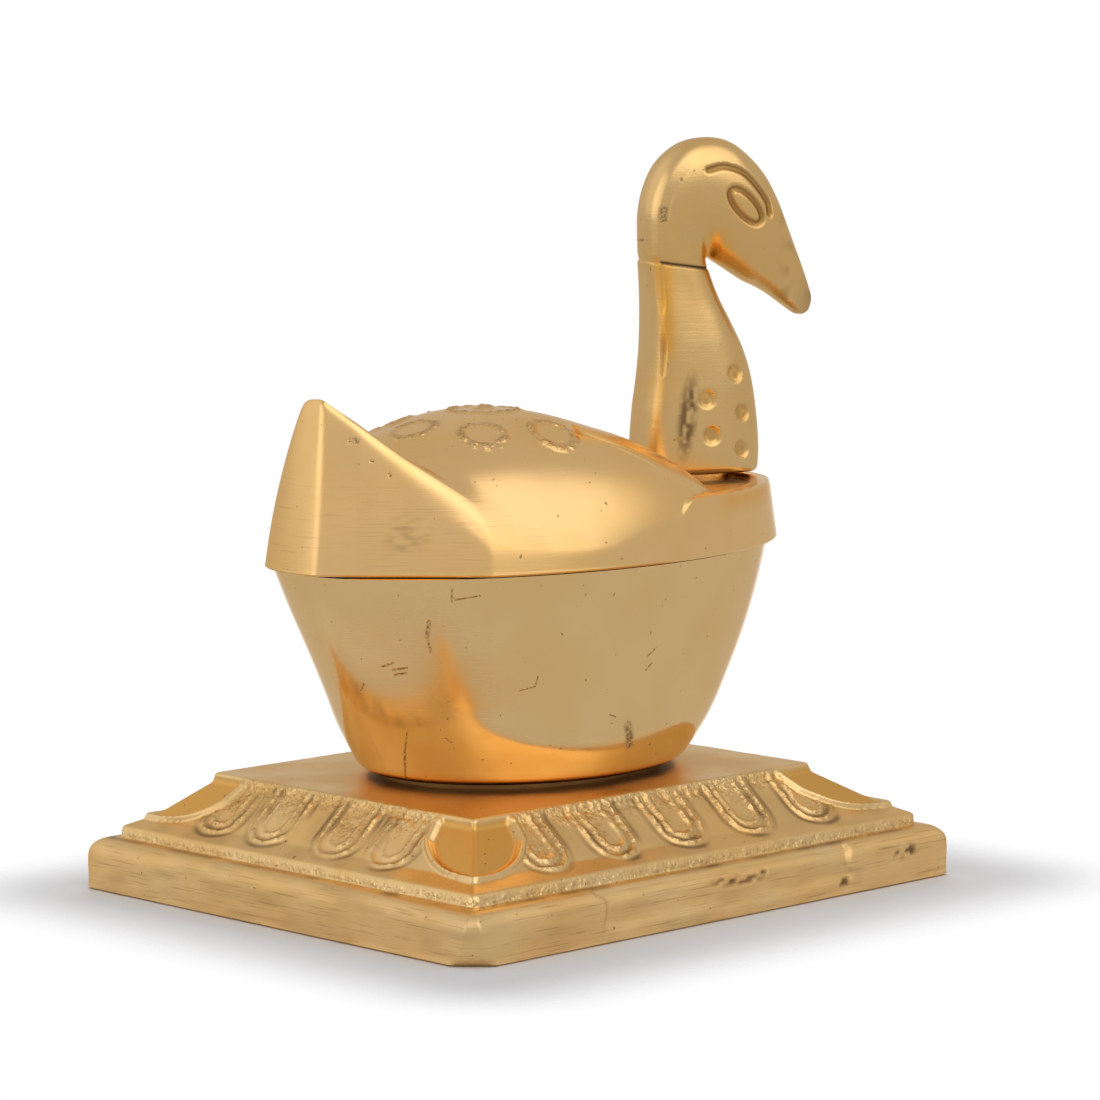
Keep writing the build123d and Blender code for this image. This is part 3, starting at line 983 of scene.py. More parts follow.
    def hollow(self, draft: MeshDraft, skin: Array, core: Array, outward: Array) -> None:
        """Close the casting: underside, hollow, bolt hole and top plate.

        Args:
            draft: The draft that holds the outside.
            skin: Numbers of the outside's points.
            core: Core places of the coarse columns.
            outward: Outward directions of the coarse columns.
        """
        half = np.array([self.high[0], self.high[1]])
        ceiling = self.high[2] - self.plate
        ceiling_half = np.array([self.top_length, self.top_width]) / 2 - self.plate / 2
        rings = []
        for inset, level in ((2.6, 0.0), (self.wall, 0.0), (self.wall + 0.35, 0.3)):
            rings.append((half - inset, 1.0, level))
        for share in (0.35, 0.7, 1.0):
            rings.append(((half - self.wall) * (1 - share) + ceiling_half * share, 1.0, ceiling * share))
        loops = []
        for reach, turn, level in rings:
            plan = core * (reach - turn) + turn * outward
            loops.append(np.column_stack([plan, np.full(len(plan), level)]))
        ceiling_plan = loops[-1][:, :2]
        bolt = unit_rows(ceiling_plan) * self.hole_radius
        for share in (0.35, 0.7, 1.0):
            plan = ceiling_plan * (1 - share) + bolt * share
            loops.append(np.column_stack([plan, np.full(len(plan), ceiling)]))
        loops.append(np.column_stack([bolt, np.full(len(bolt), self.high[2])]))
        top_plan = np.concatenate(draft.points)[skin[-1]][:: self.coarse, :2]
        for share in (0.75, 0.5, 0.25, 0.06):
            plan = bolt * share + top_plan * (1 - share)
            loops.append(np.column_stack([plan, np.full(len(plan), self.high[2])]))
        inside = draft.add(np.array(loops), filed=0.2)
        draft.skin(inside)
        draft.zip_rows(skin[0], inside[0])
        draft.zip_rows(skin[-1], inside[-1])


@dataclass
class Bowl:
    """The swan's body: an oval cup on a seat pad, with a boss for each stud.

    Sections are (half length, half width, shift forward), evenly spaced from the foot up to the rim.
    """

    grain: Grain
    stud_x: float
    finish: BrassFinish = BrassFinish(
        "bowl_brass",
        buffed=(0.9, 0.6, 0.28),
        warm=(0.88, 0.57, 0.24),
        roughness=0.15,
        scratches=(
            Scratch((-15.68, -15.78, 26.4), (-13.97, -16.65, 26.78)),
            Scratch((-13.97, -16.65, 26.78), (-13.79, -16.96, 27.95)),
            Scratch((1.09, -19.9, 29.07), (2.47, -20.01, 30.0)),
            Scratch((1.12, -19.71, 27.52), (2.04, -19.79, 28.26)),
            Scratch((-27.79, -5.83, 29.38), (-27.35, -7.21, 29.94), 0.2),
            Scratch((-27.08, -6.9, 29.08), (-26.28, -8.39, 29.38), 0.2),
            Scratch((-26.76, -6.89, 28.47), (-26.1, -8.19, 28.76), 0.2),
            Scratch((-26.12, -11.91, 34.99), (-25.84, -11.27, 33.18), 0.35),
            Scratch((-25.84, -11.27, 33.18), (-25.04, -11.07, 31.37), 0.25),
            Scratch((-27.26, -1.66, 26.11), (-27.63, -2.58, 27.06)),
            Scratch((-4.21, -19.1, 22.74), (-3.36, -19.23, 22.42)),
            Scratch((-21.18, -9.41, 20.74), (-20.69, -9.73, 20.25), 0.22),
            Scratch((-23.64, -5.5, 21.38), (-22.63, -4.05, 18.77)),
            Scratch((-22.63, -4.05, 18.77), (-20.83, -2.26, 15.29), 0.3),
            Scratch((-24.87, -14.39, 38.86), (-24.57, -14.06, 37.33)),
            Scratch((-24.33, -14.31, 37.56), (-21.92, -15.88, 37.94)),
            Scratch((-1.58, -19.44, 21.2), (-0.9, -19.0, 18.9), 0.85),
        ),
    )
    wall: float = 2.2
    floor: float = 3.2
    pad_height: float = 0.7
    pad_inset: float = 2.6
    foot_round: float = 1.2
    rim_round: float = 0.18
    boss_radius: float = 5.5
    boss_rise: float = 4.0
    bore_radius: float = 2.52
    bore_depth: float = 5.9
    stud_boss_radius: float = 5.0
    stud_boss_depth: float = 8.0
    stud_hole: float = 2.02
    stud_depth: float = 6.6
    unevenness: float = 0.015
    keel_height: float = 0.07
    keel_half: float = 0.22
    columns: int = 480
    side_rows: int = 84
    sections: tuple[tuple[float, float, float], ...] = (
        (21.0, 16.95, 0.15),
        (24.45, 19.35, 0.7),
        (28.0, 19.45, 1.35),
        (30.9, 20.0, 1.5),
        (33.3, 20.8, 1.2),
        (35.3, 21.5, 0.8),
    )
    low: Array = field(init=False)
    high: Array = field(init=False)

    def __post_init__(self) -> None:
        """Take the heights from the frame."""
        self.low, self.high = node_box("bowl")

    def section(self, height: Array) -> Array:
        """Size of the outside.

        Args:
            height: Heights above the table.

        Returns:
            Half length, half width and shift, one row for each height.
        """
        foot = self.low[2] + self.pad_height
        share = (np.asarray(height, float) - foot) / (self.high[2] - foot)
        return curve_through(self.sections, share)

    def ring(self, half_length: float, half_width: float, shift: float, height: float) -> Array:
        """Draw one level oval.

        Args:
            half_length: Half its length.
            half_width: Half its width.
            shift: How far its middle lies forward.
            height: Its height above the table.

        Returns:
            Its points.
        """
        angle = np.linspace(0, 2 * np.pi, self.columns, endpoint=False)
        level = np.full(self.columns, height)
        return np.column_stack([shift + half_length * np.cos(angle), half_width * np.sin(angle), level])

    def outside(self) -> list[Array]:
        """Draw the outside.

        Returns:
            Rings from the bore in the seat pad, round the foot and up to the rim.
        """
        seat = self.low[2]
        foot = seat + self.pad_height
        length, width, shift = self.section([foot])[0]
        rings = [self.ring(self.bore_radius, self.bore_radius, 0.0, seat + self.bore_depth)]
        rings.append(self.ring(self.bore_radius, self.bore_radius, 0.0, seat))
        pad_length, pad_width = length - self.pad_inset, width - self.pad_inset
        for share in (0.5, 1.0):
            reach_length = self.bore_radius + (pad_length - self.bore_radius) * share
            reach_width = self.bore_radius + (pad_width - self.bore_radius) * share
            rings.append(self.ring(reach_length, reach_width, shift * share, seat))
        rings.append(self.ring(pad_length, pad_width, shift, foot))
        for angle in np.radians(np.linspace(0, 75, 9)):
            inset = self.foot_round * (1 - math.sin(angle))
            level = foot + self.foot_round * (1 - math.cos(angle))
            at_length, at_width, at_shift = self.section([level])[0]
            rings.append(self.ring(at_length - inset, at_width - inset, at_shift, level))
        levels = np.linspace(foot + 1.15 * self.foot_round, self.high[2] - self.rim_round, self.side_rows)
        rings.extend(self.ring(*self.section([level])[0], level) for level in levels)
        length, width, shift = self.section([self.high[2]])[0]
        for angle in np.radians((45, 90)):
            inset = self.rim_round * (1 - math.cos(angle))
            level = self.high[2] - self.rim_round * (1 - math.sin(angle))
            rings.append(self.ring(length - inset, width - inset, shift, level))
        return rings

    def inside(self) -> list[Array]:
        """Draw the inside.

        Returns:
            Rings from the rim's inner edge, down the cup and over the foot boss.
        """
        foot = self.low[2] + self.pad_height
        floor = foot + self.floor
        ledge = self.high[2] - self.stud_boss_depth
        levels = [self.high[2], self.high[2] - 0.3, *np.linspace(self.high[2] - 2, ledge, 5)]
        levels += [*np.linspace(ledge - 1.5, floor + 2.0, 8), floor + 0.6, floor]
        rings = []
        for level in levels:
            length, width, shift = self.section([level])[0]
            inset = self.wall + 1.6 * float(1 - smooth_step(level, floor, floor + 2.0)) ** 2
            ring = self.ring(length - inset, width - inset, shift, level)
            rings.append(self.round_stud_boss(ring, shift) if level >= ledge else ring)
        length, width = rings[-1][:, 0].max(), rings[-1][:, 1].max()
        for share in (0.5, 1.0):
            reach_length = length + (self.boss_radius - length) * share
            reach_width = width + (self.boss_radius - width) * share
            rings.append(self.ring(reach_length, reach_width, 0.0, floor))
        top = floor + self.boss_rise
        rings.append(self.ring(self.boss_radius, self.boss_radius, 0.0, top - 0.4))
        rings.append(self.ring(self.boss_radius - 0.4, self.boss_radius - 0.4, 0.0, top))
        return rings

    def round_stud_boss(self, ring: Array, shift: float) -> Array:
        """Bring a ring of the cup's wall in to where the stud's boss stands.

        Args:
            ring: The ring's points.
            shift: How far its middle lies forward.

        Returns:
            The points brought in.
        """
        away = ring[:, :2] - (shift, 0.0)
        reach = np.linalg.norm(away, axis=1)
        ray = away / reach[:, None]
        boss = np.array([self.stud_x - shift, 0.0])
        along = ray @ boss
        chord = self.stud_boss_radius**2 - boss @ boss + along**2
        entry = along - np.sqrt(np.maximum(chord, 0.0))
        reach = np.where((chord > 0) & (along > 0), np.minimum(reach, entry), reach)
        moved = ring.copy()
        moved[:, :2] = ray * reach[:, None] + (shift, 0.0)
        return moved

    def build(self) -> None:
        """Make and dress the bowl."""
        outside = np.array(self.outside())
        shown = smooth_step(outside[..., 2], self.low[2] + 1.0, self.low[2] + 2.5)
        shown *= 1 - smooth_step(outside[..., 2], self.high[2] - 1.2, self.high[2] - 0.4)
        away = unit_rows(outside * (1.0, 1.6, 0.0))
        outside += (self.unevenness * self.grain.at(outside, 9.0) * shown)[..., None] * away
        keel = np.exp(-((outside[..., 1] / self.keel_half) ** 2)) * (outside[..., 0] < 0)
        keel *= 1 - smooth_step(outside[..., 2], self.low[2] + 5.0, self.low[2] + 7.5)
        outside += (self.keel_height * keel * shown)[..., None] * away
        draft = MeshDraft("bowl_casting")
        inside = np.array(self.inside())
        points = np.concatenate([outside, inside])
        foot = self.low[2] + self.pad_height
        # Painted shade: the seat pad is darkened so the gap under the bowl reads as shadow.
        seat = 1 - smooth_step(points[..., 2], foot + 0.02, foot + 0.25)
        skin = draft.add(points, tarnish=0.9 * seat)
        draft.skin(skin)
        draft.close(skin[0], (0.0, 0.0, outside[0, 0, 2]))
        draft.close(skin[-1], (0.0, 0.0, inside[-1, 0, 2]))
        piece = draft.build()
        low = Vector((self.stud_x, 0, self.high[2] - self.stud_depth))
        drill(piece, low, low + Vector((0, 0, self.stud_depth + 2)), self.stud_hole)
        dress(piece, self.finish.material(), Body.BASE, "bowl")


@dataclass
class Lid:
    """The swan's back: domed wings, upturned tail and the collar round the neck.

    Pairs for the cheeks are (right, left) and for the dome's flank (stern, bow).
    """

    grain: Grain
    stud_x: float
    finish: BrassFinish = BrassFinish(
        "lid_brass",
        roughness=0.22,
        scratches=(
            Scratch((-30.81, -4.1, 55.35), (-30.34, -4.59, 55.35), 0.5),
            Scratch((-28.33, -7.9, 51.69), (-28.3, -7.9, 51.5), 0.35),
            Scratch((-29.6, -6.12, 53.13), (-29.4, -6.3, 53.1), 0.25),
            Scratch((-5.41, -19.58, 47.55), (-5.3, -19.6, 47.3), 0.2),
        ),
    )
    half_length: float = 36.8
    half_width: float = 22.3
    shift: float = 0.9
    lean: float = 0.14
    stern_curve: float = 0.0025
    cheek_reach: Pair = (27.75, 29.35)
    cheek_angle: Pair = (math.radians(44.4), math.radians(44.6))
    cheek_lean: float = 0.12
    cheek_bend: float = 0.045
    cheek_bend_place: float = -17.8
    cheek_curve: Pair = (0.0045, 0.0062)
    cheek_blend: float = 0.7
    tail_height: float = 20.6
    tail_peak_x: float = -32.6
    tail_fall: float = 1.15
    tail_square: float = 9.0
    dome_height: float = 17.2
    dome_x: float = -5.0
    dome_reach: float = 27.9
    dome_fullness: float = 2.5
    dome_flank: Pair = (0.66, 0.46)
    valley_blend: float = 5.0
    crest_blend: float = 2.4
    top_blend: float = 0.9
    edge_blend: float = 0.6
    collar_edge_blend: float = 0.7
    collar_blend: float = 0.8
    collar_height: float = 7.0
    collar_rim: float = 2.0
    platform_drop: float = 0.6
    platform_slope: float = 0.9
    wing_start: Pair = (-2.7, 12.5)
    wing_end: Pair = (9.6, 20.3)
    wing_step: float = 1.0
    lip_height: float = 0.2
    channel_width: float = 3.0
    channel_depth: float = 0.75
    neck_clearance: float = 9.6
    free_rise: float = 40.0
    rim_rise: float = 6.0
    ring_turns: tuple[float, ...] = (90.0, 135.0, 180.0, 225.0, 270.0)
    ring_middle_x: float = -6.0
    ring_reach: float = 11.4
    ring_radius: float = 2.55
    ring_cord: float = 0.8
    ring_relief: float = 0.24
    middle_ring: float = 4.0
    patch: Pair = (-12.3, 4.8)
    patch_half: Pair = (3.4, 2.6)
    hollow_middle_x: float = -8.0
    hollow_half: Pair = (15.6, 18.5)
    wall: float = 2.4
    bore: float = 2.08
    edge_height: float = 0.22
    edge_step: float = 0.2
    edge_share: float = 0.14
    edge_samples: int = 150
    top_samples: int = 330
    columns: int = 512
    rows: int = 150
    coarse: int = 4
    seam: float = field(init=False)
    platform: float = field(init=False)

    def __post_init__(self) -> None:
        """Take the seam's height from the frame, and the platform's above it from the collar."""
        self.seam = float(node_box("lid")[0][2])
        self.platform = self.collar_height - self.platform_drop

    def inset(self, x: Array, y: Array) -> Array:
        """How far places lie inside the seam's oval.

        Args:
            x: Place along the body.
            y: Place across the body.

        Returns:
            Distance in from the oval.
        """
        away, across = np.abs(x - self.shift), np.abs(y)
        inset = np.zeros(np.broadcast(x, y).shape)
        for _ in range(9):
            length, width = self.half_length - inset, self.half_width - inset
            miss = (away / length) ** 2 + (across / width) ** 2 - 1
            slope = 2 * away**2 / length**3 + 2 * across**2 / width**3
            inset = np.clip(inset - miss / np.maximum(slope, 1e-6), 0.0, self.half_width - 1.0)
        return inset

    def cheek_way(self, y: Array) -> tuple[Array, Array, Array]:
        """How the cheek lies on a place's side of the stern.

        Args:
            y: Place across the body.

        Returns:
            The cheek's reach, angle and curve.
        """
        share = smooth_step(y, -1.0, 1.0)
        pairs = (self.cheek_reach, self.cheek_angle, self.cheek_curve)
        reach, angle, curve = (right + (left - right) * share for right, left in pairs)
        return reach, angle, curve

    def past_cheek(self, x: Array, y: Array) -> Array:
        """How far a place lies inside the flat cheek on its side of the stern.

        Args:
            x: Place along the body.
            y: Place across the body.

        Returns:
            Distance in from the cheek.
        """
        reach, angle, _ = self.cheek_way(y)
        along = np.abs(y) * np.cos(angle) + x * np.sin(angle)
        bend = self.cheek_bend * np.maximum(self.cheek_bend_place - along, 0)
        return reach + x * np.cos(angle) - np.abs(y) * np.sin(angle) - bend

    def wall_height(self, inset: Array, lean: float, curve: Array) -> Array:
        """Height of a wall that leans in, and more so further up."""
        return (np.sqrt(lean**2 + 4 * curve * inset) - lean) / (2 * curve)

    def back(self, x: Array, y: Array) -> Array:
        """Shape the domed wings.

        Args:
            x: Place along the body.
            y: Place across the body.

        Returns:
            Their height above the seam.
        """
        crown = self.dome_height * np.sqrt(np.clip(1 - ((x - self.dome_x) / self.dome_reach) ** 2, 0, 1))
        across = np.clip(np.abs(y) / self.half_across(x), 0, 1)
        stern, bow = self.dome_flank
        flank = stern + (bow - stern) * smooth_step(x, -12.0, 8.0)
        return crown * (1 - across**self.dome_fullness) ** flank

    def wing_side(self, x: Array, y: Array) -> tuple[Array, Array]:
        """Place relative to the front edge of the folded wing.

        Args:
            x: Place along the body.
            y: Place across the body.

        Returns:
            Distance in front of the edge, and share of the way along it.
        """
        start, end = np.array(self.wing_start), np.array(self.wing_end)
        run = end - start
        length = np.linalg.norm(run)
        along = ((x - start[0]) * run[0] + (np.abs(y) - start[1]) * run[1]) / length**2
        front = ((x - start[0]) * run[1] - (np.abs(y) - start[1]) * run[0]) / length
        return front, along

    def wing_edge(self, x: Array, y: Array) -> Array:
        """Share of the raised lip along the wing's front edge."""
        front, along = self.wing_side(x, y)
        return bump(front + 0.25, 0.5) * smooth_step(along, 0.0, 0.4) * (1 - smooth_step(along, 0.98, 1.06))

    def channel(self, x: Array, y: Array) -> Array:
        """Shape the hollow that runs in front of the wing's edge.

        Args:
            x: Place along the body.
            y: Place across the body.

        Returns:
            Share of its depth.
        """
        front, along = self.wing_side(x, y)
        half = 0.5 * self.channel_width * (1 - 0.5 * np.clip(along, 0, 1))
        section = smooth_step(front, -0.1, 0.7 * half) * (1 - smooth_step(front, 1.3 * half, 2.3 * half))
        return section * smooth_step(along, -0.05, 0.08) * (1 - smooth_step(along, 0.8, 1.05))

    def ornament(self, x: Array, y: Array) -> Array:
        """Shape the stippled rings on the back.

        Args:
            x: Place along the body.
            y: Place across the body.

        Returns:
            Share of their height.
        """
        place = np.stack([x, y, 0 * x], axis=-1)
        rough = self.grain.at(place, 0.6)
        height = np.zeros(x.shape)
        for turn in np.radians(self.ring_turns):
            along = x - self.ring_middle_x - self.ring_reach * math.cos(turn)
            away = np.hypot(along, y - self.ring_reach * math.sin(turn))
            height = np.maximum(height, bump(away - self.ring_radius, self.ring_cord))
        middle = np.hypot(x - self.ring_middle_x, y)
        height = np.maximum(height, bump(middle - self.middle_ring, self.ring_cord))
        height = np.maximum(height, smooth_step(-middle, -1.6, -0.9))
        return height * (0.75 + 0.7 * rough)

    def half_across(self, x: Array) -> Array:
        """Half the seam's width at each place along the body."""
        return self.half_width * np.sqrt(np.clip(1 - ((x - self.shift) / self.half_length) ** 2, 1e-6, 1))

    def sides(self, x: Array, y: Array, inset: Array) -> Array:
        """Shape the walls that lean in from the seam, with the flat cheeks at the stern.

        Args:
            x: Place along the body.
            y: Place across the body.
            inset: Distance in from the seam's oval.

        Returns:
            Their height above the seam.
        """
        past = np.maximum(self.past_cheek(x, y), 0.0)
        cheek = self.wall_height(past, self.cheek_lean, self.cheek_way(y)[2])
        curve = 1e-6 + self.stern_curve * (1 - smooth_step(x, -30.0, -20.0))
        return smooth_min(self.wall_height(inset, self.lean, curve), cheek, self.cheek_blend)

    def wings(self, x: Array, y: Array) -> Array:
        """Shape the back with its rings and the folded wings' front edges.

        Args:
            x: Place along the body.
            y: Place across the body.

        Returns:
            Its height above the seam.
        """
        front, _ = self.wing_side(x, y)
        drop = self.wing_step * smooth_step(x, -5.0, 6.0) * smooth_step(front, -0.4, 0.9)
        lip = self.lip_height * self.wing_edge(x, y) - self.channel_depth * self.channel(x, y)
        return self.back(x, y) + self.ring_relief * self.ornament(x, y) - drop + lip

    def height(self, x: Array, y: Array) -> Array:
        """Height of the lid's outside above the seam.

        Args:
            x: Place along the body, inside the seam's oval.
            y: Place across the body.

        Returns:
            Height for each place.
        """
        inset = self.inset(x, y)
        side = self.sides(x, y, inset)
        slope = self.tail_height - (x - self.tail_peak_x) * self.tail_fall
        tail = slope * (1 - np.clip(np.abs(y) / self.half_across(x), 0, 1) ** self.tail_square) ** 1.2
        body = smooth_max(self.wings(x, y), tail, self.valley_blend)
        rim_inner = self.collar_rim + self.lean * self.collar_height
        in_rim = smooth_step(inset, rim_inner, rim_inner + self.platform_slope)
        collar = (self.collar_height - self.platform_drop * in_rim) * smooth_step(x, 1.0, 8.0)
        body = smooth_max(body, collar, self.collar_blend)
        near_neck = np.hypot(x - self.stud_x, y)
        clear = smooth_step(near_neck, self.neck_clearance, self.neck_clearance + 1.0)
        body = np.minimum(body, self.platform + self.free_rise * clear + self.rim_rise * (1 - in_rim))
        crest = smooth_step(x, -33.0, -26.0) * (1 - smooth_step(x, -16.0, -8.0))
        high_up = smooth_step(np.minimum(side, body), 2.0, 8.0) * (1 - smooth_step(x, -2.0, 6.0))
        blend = self.edge_blend + (self.top_blend + self.crest_blend * crest) * high_up
        return smooth_min(side, body, blend + self.collar_edge_blend * smooth_step(x, 6.0, 12.0))

    def brushed(self, points: Array) -> tuple[Array, Array]:
        """Brush marks on the stern's cheeks, and the rough patch among them on the right-hand side.

        Args:
            points: Places on the lid, with heights above the seam.

        Returns:
            Share of the brushing and share of the patch.
        """
        x, y, level = points[..., 0], points[..., 1], points[..., 2]
        _, angle, _ = self.cheek_way(y)
        along = np.abs(y) * np.cos(angle) + x * np.sin(angle)
        ragged = self.grain.at(points, 1.6)
        near = 1 - smooth_step(self.past_cheek(x, y), 3.0, 5.0)
        low = 1 - smooth_step(level + 2.0 * ragged, 5.0, 14.0)
        length, width = self.patch_half
        patch = 1 - smooth_step(np.hypot((along - self.patch[0]) / length, (level - self.patch[1]) / width), 0.3, 1.1)
        patch *= np.clip(0.35 + 1.2 * self.grain.at(points * (1.0, 1.0, 3.0), 1.1), 0, 1) * (y < 0)
        return near * low, near * patch

    def outline(self) -> Array:
        """Draw the seam's outline, flattened at the stern.

        Returns:
            Places round it.
        """
        angle = np.linspace(0, 2 * np.pi, 8 * self.columns + 1)
        oval = np.column_stack([self.shift + self.half_length * np.cos(angle), self.half_width * np.sin(angle)])
        over = np.maximum(-self.past_cheek(oval[:, 0], oval[:, 1]), 0.0)
        angle = self.cheek_way(oval[:, 1])[1]
        oval[:, 0] += over * np.cos(angle)
        oval[:, 1] -= np.sign(oval[:, 1]) * over * np.sin(angle)
        return even_curve(oval, self.columns + 1)[:-1]

    def outside(self) -> Array:
        """Draw the outside, evenly spaced down each section.

        Returns:
            Rows of points from the seam's edge to the crown.
        """
        edge = self.outline()
        near_edge = np.linspace(0.0004, self.edge_share, self.edge_samples, endpoint=False)
        shares = np.concatenate([near_edge, np.linspace(self.edge_share, 1, self.top_samples)])
        pole = np.array([self.dome_x, 0.0])
        plan = edge[None] + (pole - edge)[None] * shares[:, None, None]
        level = np.maximum(self.height(plan[..., 0], plan[..., 1]), 0.0)
        level[0] = self.edge_height
        sections = np.concatenate([plan, level[..., None]], axis=-1)
        even = [even_curve(sections[:-1, column], self.rows) for column in range(self.columns)]
        return np.stack(even, axis=1)

    def hollow(self) -> Array:
        """Draw the hollow.

        Returns:
            Rows of points from the seam's inner edge up into it.
        """
        edge = self.outline()[:: self.coarse]
        turn = np.arctan2(edge[:, 1], edge[:, 0] - self.hollow_middle_x)
        length, width = self.hollow_half
        reach = (np.abs(np.cos(turn) / length) ** 3 + np.abs(np.sin(turn) / width) ** 3) ** (-1 / 3)
        rows = []
        for share in (1.0, 0.99, 0.97, 0.94, 0.9, 0.82, 0.7, 0.55, 0.4, 0.25, 0.1):
            x = self.hollow_middle_x + share * reach * np.cos(turn)
            y = share * reach * np.sin(turn)
            roof = (self.height(x, y) - self.wall) * math.sqrt(1 - share**4)
            rows.append(np.column_stack([x, y, roof]))
        return np.array(rows)

    def marks(self, points: Array) -> dict[str, Array]:
        """Surface marks of the outside.

        Args:
            points: Places on the lid, with heights above the seam.

        Returns:
            The marks by name.
        """
        x, y, level = points[..., 0], points[..., 1], points[..., 2]
        stippled = np.clip(1.4 * self.ornament(x, y), 0, 1) * smooth_step(level, 9.0, 11.0)
        # The wing channel and the platform round the neck get the painted reflection, painted shade in the channel
        # and under the neck.
        pooled = 0.9 * self.channel(x, y) * smooth_step(level, 5.0, 6.0)
        pooled = np.maximum(pooled, 0.6 * smooth_step(x, 12.0, 16.0) * (level < self.platform + 0.3))
        brushed, patch = self.brushed(points)
        # Painted shade: the platform round the neck's foot is darkened where the gap under the neck shades it.
        under_neck = 1 - smooth_step(np.hypot(x - self.stud_x, y), 8.2, 9.8)
        painted_neck_shade = 0.85 * under_neck * (level < self.platform + 0.1)
        return {
            Mark.STIPPLED.value: stippled,
            Mark.PAINTED_REFLECTION.value: pooled * smooth_step(level, 4.0, 6.2),
            Mark.FILED.value: 0.5 * brushed,
            Mark.TARNISH_AND_SHADE.value: np.maximum(np.maximum(0.2 * stippled, 0.5 * patch), painted_neck_shade),
        }

    def peak(self, x: float) -> float:
        """Height of the outside above the seam on the middle line."""
        return float(self.height(np.array([x]), np.array([0.0]))[0])

    def build(self) -> None:
        """Make and dress the lid."""
        outside = self.outside()
        lowest = outside[0].copy()
        lowest[:, :2] -= unit_rows(lowest[:, :2]) * self.edge_step
        lowest[:, 2] = 0.0
        draft = MeshDraft("lid_casting")
        up = np.array([0.0, 0.0, self.seam])
        points = np.concatenate([lowest[None], outside])
        skin = draft.add(points + up, **self.marks(points))
        draft.skin(skin)
        draft.close(skin[-1], (self.dome_x, 0.0, self.seam + self.peak(self.dome_x)))
        hollow = self.hollow()
        rim = hollow[0].copy()
        rim[:, :2] = 0.35 * rim[:, :2] + 0.65 * lowest[:: self.coarse, :2]
        inner = draft.add(np.concatenate([rim[None], hollow]) + up)
        draft.zip_rows(skin[0], inner[0])
        draft.skin(inner)
        roof = self.seam + self.peak(self.hollow_middle_x) - self.wall
        draft.close(inner[-1], (self.hollow_middle_x, 0.0, roof))
        piece = draft.build()
        low = Vector((self.stud_x, 0, self.seam - 2))
        drill(piece, low, low + Vector((0, 0, self.collar_height + 6)), self.bore)
        dress(piece, self.finish.material(), Body.LID, "lid")


